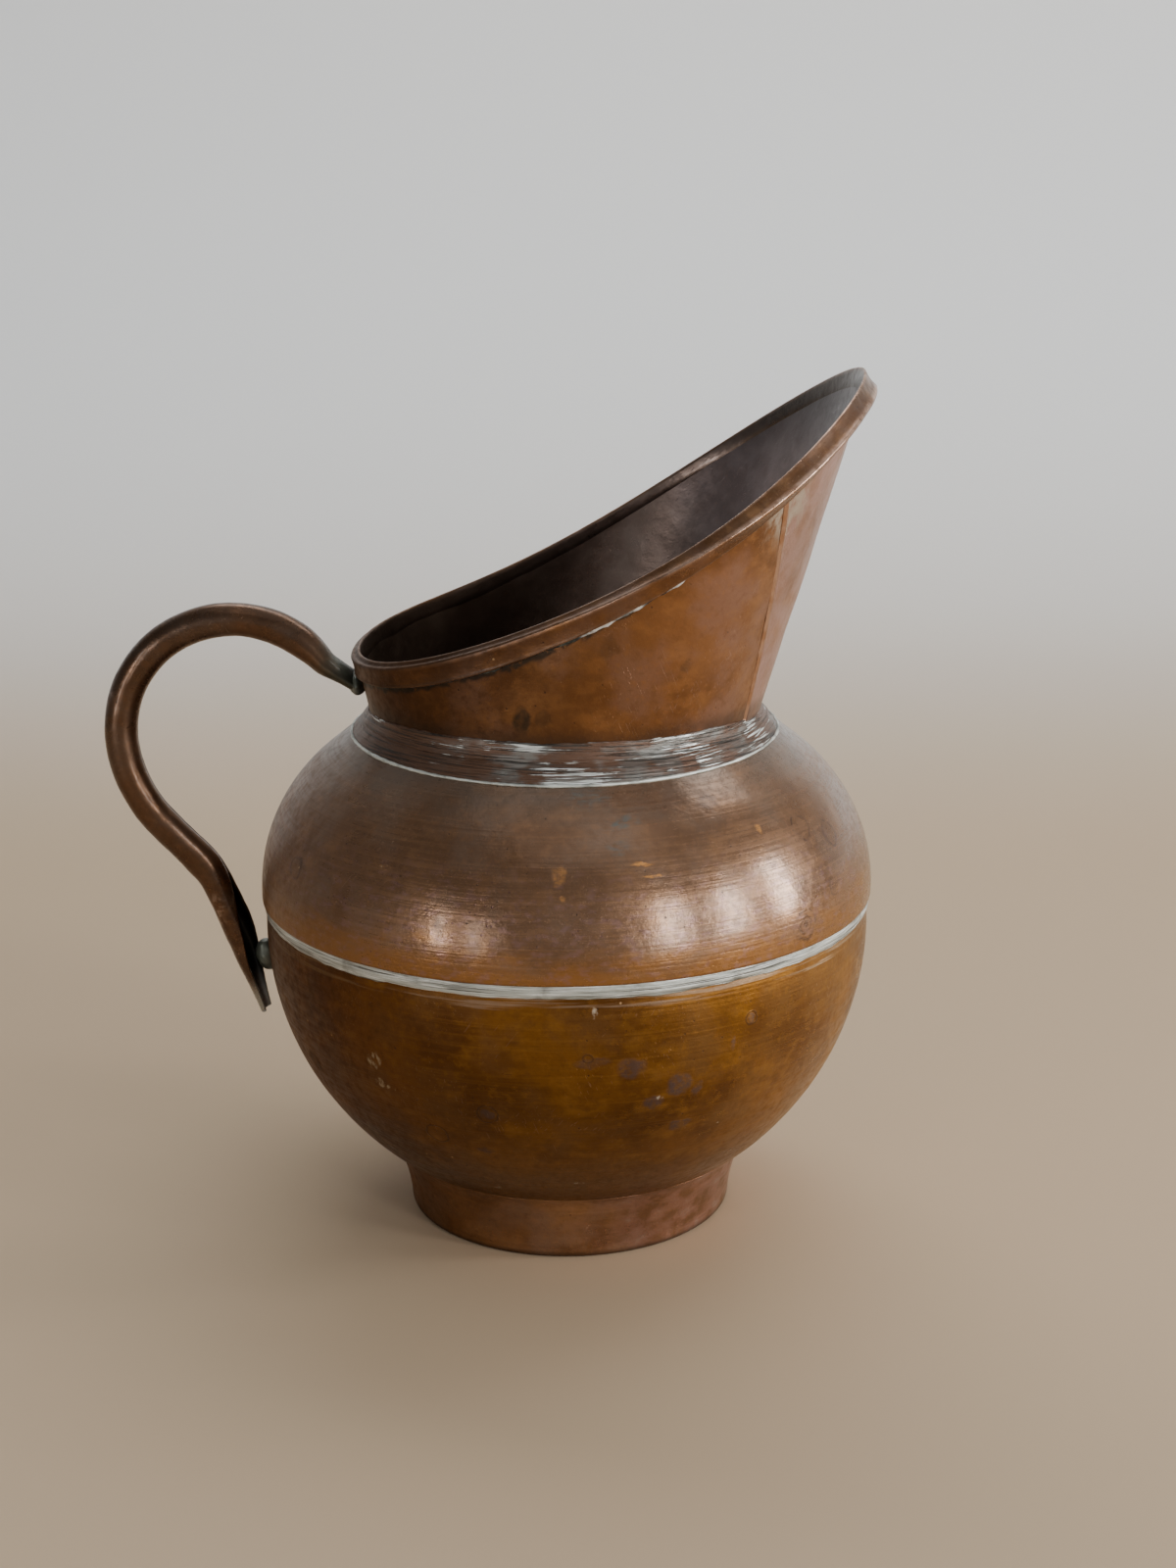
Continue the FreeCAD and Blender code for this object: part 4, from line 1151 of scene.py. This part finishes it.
def neck_marks(s):
    """Corrosion spots low on the neck, dust and a painted highlight by the lap, painted light on its
    pinkish, duller face, grime and painted shade below the binding, and painted shade just above the
    collar.
    """
    lap = s.point("lap")
    dust_and_edge_highlight = s.point("dust_and_edge_highlight")
    cloud = s.noise(9.0, detail=5.0)
    # painted light: the lap's face is tinted a lighter pinkish tan for the way its facet catches the
    # light
    s.tint(s.times(lap, s.step(cloud, 0.3, 0.62, 0.3, 0.85)), (0.34, 0.2, 0.145))
    torn = s.step(s.noise(3.2, (1, 1, 0.6), 5.0), 0.4, 0.6)
    # dust, and a painted highlight along the lap's edge
    s.tint(s.times(dust_and_edge_highlight, torn), (0.36, 0.28, 0.19))
    place = s.ragged(2.2, 4.0)
    spots = s.spots((
        ((-11.5, -56.6, 163.0), 3.2, 1.5, 0.85), ((-6.0, -57.4, 164.0), 2.2, 1.4, 0.5),
        ((33.0, -56.0, 177.0), 2.6, 1.0, 0.4), ((12.0, -61.0, 184.0), 3.0, 1.4, 0.35),
        ((-26.0, -54.5, 168.0), 2.6, 1.6, 0.55), ((5.0, 60.0, 168.0), 3.4, 1.0, 0.7),
        ((40.0, 50.0, 185.0), 4.4, 1.0, 0.5), ((-40.0, 44.0, 162.0), 2.8, 1.2, 0.7),
    ), place)
    s.tint(s.times(spots, s.step(torn, 0.0, 1.0, 0.65, 1.0)), (0.05, 0.035, 0.022))
    # grime and painted shade hanging below the binding
    grime_and_shade_below_rim = s.times(s.point("grime_and_shade_below_rim"), s.step(s.noise(3.0, detail=5.0), 0.36, 0.5))
    s.tint(s.times(grime_and_shade_below_rim, 0.85), (0.03, 0.028, 0.022))
    height = s.height()
    # painted shade: darker just above the collar, where the neck meets it
    low = s.step(height, 162.0, 157.2, 0.0, 0.75)
    s.tint(s.times(low, s.step(cloud, 0.3, 0.6, 0.4, 1.0)), (0.09, 0.05, 0.03))
    s.roughen(s.times(s.most(lap, dust_and_edge_highlight), 0.12))
    s.tint(s.point("inside"), inner_brown(s, cloud))
    s.relief(spots, -0.05)


def rim_marks(s):
    """Painted highlights along its rubbed edges, painted shade on its top ledge and lower face, and dark
    grime and green under the fold.
    """
    cloud = s.noise(9.0, detail=5.0)
    s.tint(s.point("inside"), inner_brown(s, cloud))
    # painted highlight: the edge rows are lightened, over rubbed wear
    edge = s.times(s.point("edge"), s.step(s.noise(6.0, detail=5.0), 0.36, 0.6, 0.25, 1.0))
    s.tint(edge, (0.6, 0.4, 0.3))
    # painted shade on the top ledge and lower face, and dark green verdigris under the fold; duller and
    # rougher there too
    dirt_and_shade = s.point("dirt_and_shade")
    green = s.mix(s.step(s.noise(4.0, detail=4.0), 0.45, 0.6), (0.02, 0.02, 0.017),
                  (0.075, 0.09, 0.07))
    s.tint(dirt_and_shade, green)
    s.metallic = s.maths("SUBTRACT", s.metallic, s.times(dirt_and_shade, 0.7))
    s.roughen(s.times(dirt_and_shade, 0.3))
    s.relief(s.noise(7.0, (1, 1, 1), 3.0), 0.3)


def handle_marks(s):
    """Grime where the handle meets the neck, worn spots, and painted shade inside the leaf."""
    place = s.ragged(2.5, 4.0)
    grime = s.spots((((-61.0, 0.0, 163.0), 17.0, 1.0, 0.95),), place, 0.7)
    s.tint(grime, (0.045, 0.05, 0.034))
    worn = s.spots((((-130.0, 0.0, 157.0), 5.0, 1.4, 0.7), ((-129.0, 0.0, 139.0), 4.0, 1.4, 0.6),
                    ((-110.0, 0.0, 176.0), 6.0, 0.8, 0.4), ((-104.0, -3.0, 92.0), 4.5, 1.6, 0.7)),
                   place, 0.8)
    worn = s.times(worn, s.step(s.noise(2.4, detail=4.0), 0.45, 0.6))
    s.tint(worn, (0.5, 0.36, 0.28))
    # painted shade: the inside of the tube and of the open leaf is painted near black
    inside = s.point("inside")
    s.tint(inside, (0.02, 0.017, 0.014))
    tin = s.point("tin")
    s.tint(tin, (0.3, 0.3, 0.28))
    s.roughen(s.times(s.most(inside, grime), 0.3))


def tin(name, light, dark, glint=0.5, stretch=(1, 1, 14)):
    """Wiped tin solder: streaks of light grey over darker tarnish, with whiter torn ridges."""
    s = Surface(name)
    streaks = s.noise(15.0, stretch, 5.0)
    fine = s.noise(6.0, stretch, 4.0)
    cloud = s.noise(8.0, detail=5.0)
    s.colour = s.mix(s.step(streaks, 0.34, 0.52), dark, light)
    s.tint(s.step(fine, 0.52, 0.66, 0.0, glint), (0.88, 0.9, 0.87))
    s.tint(s.step(fine, 0.42, 0.32, 0.0, 0.7), dark)
    s.tint(s.step(cloud, 0.46, 0.3, 0.0, 0.5), dark)
    s.relief(streaks, 0.28)
    s.relief(fine, 0.14)
    s.relief(s.noise(1.6, detail=3.0), 0.07)
    return s.finish(0.35, s.step(cloud, 0.3, 0.7, 0.34, 0.52))


def wiped_copper(name):
    """The collar's face: brown patina smeared over with thin torn streaks of light tin."""
    s = Surface(name)
    cloud = s.noise(10.0, (1, 1, 1.6), 5.0)
    wiped = s.step(s.along(), -42.0, -8.0)
    brown = s.mix(s.times(s.step(cloud, 0.46, 0.62), s.times(wiped, 0.7)),
                  (0.115, 0.06, 0.036), (0.12, 0.11, 0.098))
    patch = s.step(s.noise(16.0, (1, 1, 3), 5.0), 0.5, 0.62, 0.0, 0.6)
    brown = s.mix(s.times(patch, wiped), brown, (0.24, 0.25, 0.235))
    long = s.noise(34.0, (1, 1, 84), 5.0, (0.02, 0.0, 0.0))
    short = s.noise(14.0, (1, 1, 58), 4.0, (-0.03, 0.02, 0.0))
    cover = s.step(s.noise(15.0, (1, 1, 2.2), 4.0), 0.4, 0.62, 0.68, 0.53)
    joint = s.step(s.height(), 151.6, 154.0, 0.0, -0.05)
    handle_side = s.step(s.along(), -5.0, -50.0, 0.0, 0.09)
    low = s.plus(s.plus(cover, joint), handle_side)
    torn = s.step(s.plus(s.times(long, 0.6), s.times(short, 0.4)),
                  s.maths("SUBTRACT", low, 0.03), s.plus(low, 0.015))
    grey = s.mix(s.step(short, 0.4, 0.6), (0.4, 0.41, 0.385), (0.86, 0.89, 0.86))
    s.colour = s.mix(torn, brown, grey)
    cracks = s.step(s.noise(22.0, (1, 1, 66), 4.0, (0.04, -0.03, 0.0)), 0.45, 0.4)
    s.tint(s.times(cracks, 0.85), (0.03, 0.028, 0.024))
    # painted shade: the collar's faces tucked inside the neck and pressed on the dome are painted near
    # black
    s.tint(s.point("inside"), (0.03, 0.022, 0.018))
    s.relief(s.maths("SUBTRACT", torn, cracks), 0.12)
    s.relief(long, 0.22)
    s.relief(short, 0.1)
    return s.finish(0.4, s.step(cloud, 0.3, 0.7, 0.34, 0.5))


def rim_tin(name):
    """Solder and verdigris packed under the fold of the rim."""
    s = Surface(name)
    bright = s.point("bright")
    cloud = s.noise(3.0, detail=5.0)
    dark = s.mix(s.step(cloud, 0.5, 0.68), (0.016, 0.015, 0.013), (0.06, 0.07, 0.058))
    light = s.mix(s.step(cloud, 0.38, 0.6), (0.24, 0.25, 0.24), (0.8, 0.82, 0.8))
    s.colour = s.mix(bright, dark, light)
    s.relief(cloud, 0.3)
    return s.finish(s.times(bright, 0.6), 0.5)


def plain(name, colour, metallic, roughness):
    """A plain metal with a faint cloud in its tone and a fine relief."""
    s = Surface(name)
    cloud = s.step(s.noise(40.0), 0.35, 0.65)
    s.colour = s.mix(cloud, colour, tuple(c * 0.94 for c in colour))
    s.relief(s.noise(6.0), 0.03)
    return s.finish(metallic, roughness)


def neck_thread():
    """Dull brass-coloured metal run along the lap, mostly grown over with patina."""
    s = Surface("brazing_dull")
    cloud = s.step(s.noise(5.0, detail=4.0), 0.4, 0.62)
    s.colour = s.mix(cloud, (0.34, 0.17, 0.085), (0.42, 0.25, 0.16))
    s.relief(s.noise(2.0), 0.1)
    return s.finish(0.8, 0.45)


# ---- pieces --------------------------------------------------------------------------


def dress():
    """Makes every piece, puts its material on it and says which CAD nodes it stands for."""
    # The bowl's colours are its patina with a painted reflection of a warm wooden table mixed in, so they
    # are warmer and darker than the patina alone.
    # The side tints in these calls are painted shade towards the handle and painted light towards the
    # lip.
    belly = copper("copper_bowl_patina_and_reflection", (0.105, 0.04, 0.006), (0.19, 0.078, 0.01),
                   (0.27, 0.125, 0.022), (0.15, 0.072, 0.022), spun=0.6, gloss=0.3, veil=0.1,
                   extra=bowl_marks, painted_shade_side=(-10.0, -75.0, (0.5, 0.38, 0.2)),
                   painted_light_side=(15.0, 75.0, (1.6, 1.65, 1.5)))
    dome = copper("copper_dome_patina", (0.16, 0.082, 0.041), (0.215, 0.112, 0.056),
                  (0.29, 0.148, 0.07), (0.205, 0.128, 0.085), spun=0.8, gloss=0.2, veil=0.2,
                  extra=dome_marks, metallic=0.6, painted_shade_side=(-30.0, -85.0, (0.8, 0.78, 0.74)))
    foot = copper("copper_foot_patina", (0.19, 0.09, 0.036), (0.34, 0.175, 0.075),
                  (0.42, 0.23, 0.12), (0.3, 0.185, 0.125), spun=0.3, veil=0.12,
                  extra=foot_marks, painted_shade_side=(5.0, -45.0, (0.5, 0.38, 0.22)))
    neck = copper("copper_neck_patina", (0.15, 0.06, 0.018), (0.235, 0.102, 0.036),
                  (0.33, 0.148, 0.05), (0.25, 0.13, 0.08), gloss=0.28, veil=0.15,
                  extra=neck_marks, painted_shade_side=(32.0, -34.0, (0.36, 0.32, 0.26)),
                  painted_light_side=(20.0, 62.0, (1.25, 1.35, 1.6)))
    rim = copper("copper_rim_patina", (0.12, 0.052, 0.02), (0.2, 0.088, 0.033),
                 (0.29, 0.135, 0.052), (0.19, 0.105, 0.07), gloss=0.26, veil=0.2,
                 extra=rim_marks, painted_shade_side=(25.0, -40.0, (0.4, 0.36, 0.3)))
    handle = copper("copper_handle_patina", (0.066, 0.034, 0.018), (0.108, 0.053, 0.026),
                    (0.155, 0.074, 0.036), (0.11, 0.068, 0.046), gloss=0.24, veil=0.2,
                    extra=handle_marks)
    seam = tin("tin_belly_seam", (0.46, 0.48, 0.44), (0.07, 0.07, 0.06), 0.9, (0.4, 0.4, 20))
    collar = wiped_copper("tin_wiped_collar")
    bright = tin("tin_collar_lines", (0.62, 0.65, 0.6), (0.2, 0.21, 0.19), 0.5, (1, 1, 3))
    grimy = tin("tin_grimy", (0.13, 0.14, 0.11), (0.03, 0.034, 0.025), 0.1, (1, 1, 1))
    pale = tin("tin_lump", (0.4, 0.4, 0.38), (0.12, 0.12, 0.11), 0.3, (1, 1, 1))

    iron = plain("iron_dark", (0.09, 0.08, 0.075), 0.8, 0.6)
    for make, material, slot, node in (
            (make_lower_bowl, belly, "copper_belly", "lower_bowl"),
            (make_upper_bowl, dome, "copper_belly", "upper_bowl"),
            (make_belly_seam, seam, "solder", "belly_seam_solder"),
            (make_foot, foot, "copper_foot", "foot_ring"),
            (make_collar, collar, "copper_neck", "neck_collar"),
            (make_collar_bead, bright, "solder", "collar_lower_solder"),
            (make_collar_fillet, collar, "solder", "collar_upper_solder"),
            (make_neck, neck, "copper_neck", "neck_funnel"),
            (make_lap_seam, neck_thread(), "brazing", "neck_seam_solder"),
            (make_rim, rim, "copper_rim", "rim_binding"),
            (make_rim_wire, iron, "iron_wire", "rim_wire"),
            (make_rim_solder, rim_tin("tin_under_rim"), "solder", "rim_solder"),
            (make_handle, handle, "copper_handle", "handle_tube"),
            (make_handle_root_solder, grimy, "solder", "handle_top_solder"),
            (make_leaf_solder, grimy, "solder", "handle_foot_solder")):
        finish_piece(make(), material, node)
    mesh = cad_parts["foot_solder"].data
    mesh.materials.clear()
    mesh.materials.append(pale)


dress()

# ---- stage, light and camera ---------------------------------------------------------


def make_floor():
    """A pale floor, a little warm, that sweeps up into a pale backdrop."""
    flat_end, bend = 0.75, 0.6
    path = [(-3.0, 0.0), (flat_end, 0.0)]
    for step in range(1, 25):
        turn = math.pi / 2 * step / 24
        path.append((flat_end + bend * math.sin(turn), bend * (1 - math.cos(turn))))
    path.append((flat_end + bend, 4.0))
    vertices = [(across, y, z) for y, z in path for across in (-4.0, 4.0)]
    faces = [(2 * i, 2 * i + 1, 2 * i + 3, 2 * i + 2) for i in range(len(path) - 1)]
    mesh = bpy.data.meshes.new("stage_sweep")
    mesh.from_pydata(vertices, [], faces)
    mesh.shade_smooth()
    floor = bpy.data.objects.new("stage_sweep", mesh)
    bpy.context.scene.collection.objects.link(floor)
    s = Surface("stage_pale")
    split = s.add("ShaderNodeSeparateXYZ")
    s.feed(split.inputs[0], s.place)
    back = s.step(split.outputs["Y"], 0.3, 1.25)
    s.colour = s.mix(back, (0.52, 0.385, 0.25), (0.8, 0.81, 0.81))
    s.relief(s.noise(9.0), 0.02)
    mesh.materials.append(s.finish(0.0, 0.75))


def soft_light(name, side, rise, far, width, height, power):
    """A soft upright panel seen from the jug at an angle right of the camera, in degrees."""
    lamp = bpy.data.lights.new(name, "AREA")
    lamp.shape = "RECTANGLE"
    lamp.size, lamp.size_y = width, height
    lamp.energy = power
    holder = bpy.data.objects.new(name, lamp)
    turn = math.radians(side)
    middle = Vector((0, 0, 0.11))
    reach = Vector((math.sin(turn), -math.cos(turn), math.tan(math.radians(rise)))) * far
    holder.location = middle + reach
    holder.rotation_euler = reach.to_track_quat("Z", "Y").to_euler()
    bpy.context.scene.collection.objects.link(holder)


def make_world():
    """Room light that is dim overhead and to the handle's side, and brighter to the lip's."""
    world = bpy.data.worlds.new("studio")
    world.use_nodes = True
    tree = world.node_tree
    tree.nodes.clear()

    def put(kind, **settings):
        node = tree.nodes.new(kind)
        for key, value in settings.items():
            setattr(node, key, value)
        return node

    way = put("ShaderNodeSeparateXYZ")
    tree.links.new(put("ShaderNodeTexCoord").outputs["Generated"], way.inputs[0])
    strength = put("ShaderNodeMath", operation="MULTIPLY")
    spans = (("X", -0.7, 0.9, 0.22, 0.75), ("Z", 0.05, 0.8, 1.0, 0.55))
    for (axis, *span), factor in zip(spans, strength.inputs):
        change = put("ShaderNodeMapRange", interpolation_type="SMOOTHSTEP")
        tree.links.new(way.outputs[axis], change.inputs[0])
        for socket, value in zip(change.inputs[1:5], span):
            socket.default_value = value
        tree.links.new(change.outputs[0], factor)
    room = put("ShaderNodeBackground")
    room.inputs["Color"].default_value = (0.95, 0.98, 1.0, 1)
    tree.links.new(strength.outputs[0], room.inputs["Strength"])
    output = put("ShaderNodeOutputWorld")
    tree.links.new(room.outputs[0], output.inputs[0])
    bpy.context.scene.world = world


def make_camera():
    """The viewpoint: in front of the jug and a little above its lip, looking down on it."""
    pitch, yaw, roll = 0.27333, 0.00987, -0.0085
    forward = Vector((math.sin(yaw) * math.cos(pitch), math.cos(yaw) * math.cos(pitch),
                      -math.sin(pitch)))
    level = Vector((math.cos(yaw), -math.sin(yaw), 0))
    above = level.cross(forward)
    right = level * math.cos(roll) + above * math.sin(roll)
    up = above * math.cos(roll) - level * math.sin(roll)
    lens = bpy.data.cameras.new("camera")
    lens.sensor_width = 36.0
    lens.lens = 54.0
    lens.clip_start = 0.01
    camera = bpy.data.objects.new("camera", lens)
    turn = Matrix((right, up, -forward)).transposed()
    camera.matrix_world = Matrix.Translation((0, -0.67, 0.3172)) @ turn.to_4x4()
    bpy.context.scene.collection.objects.link(camera)
    bpy.context.scene.camera = camera


make_floor()
make_world()
for light in (("panel_right_a", 37, 9, 1.8, 0.27, 1.05, 12), ("panel_right_b", 61, 7, 1.8, 0.24, 1.0, 15),
              ("panel_right_c", 85, 8, 1.8, 0.3, 1.0, 19), ("panel_left_a", -46, 4, 1.8, 0.14, 0.72, 5),
              ("panel_left_b", -31, 4, 1.8, 0.12, 0.72, 2.5), ("overhead", 20, 80, 0.4, 2.0, 2.0, 5.5),
              ("backdrop_wash", 160, 60, 0.9, 2.0, 0.6, 15)):
    soft_light(*light)
make_camera()
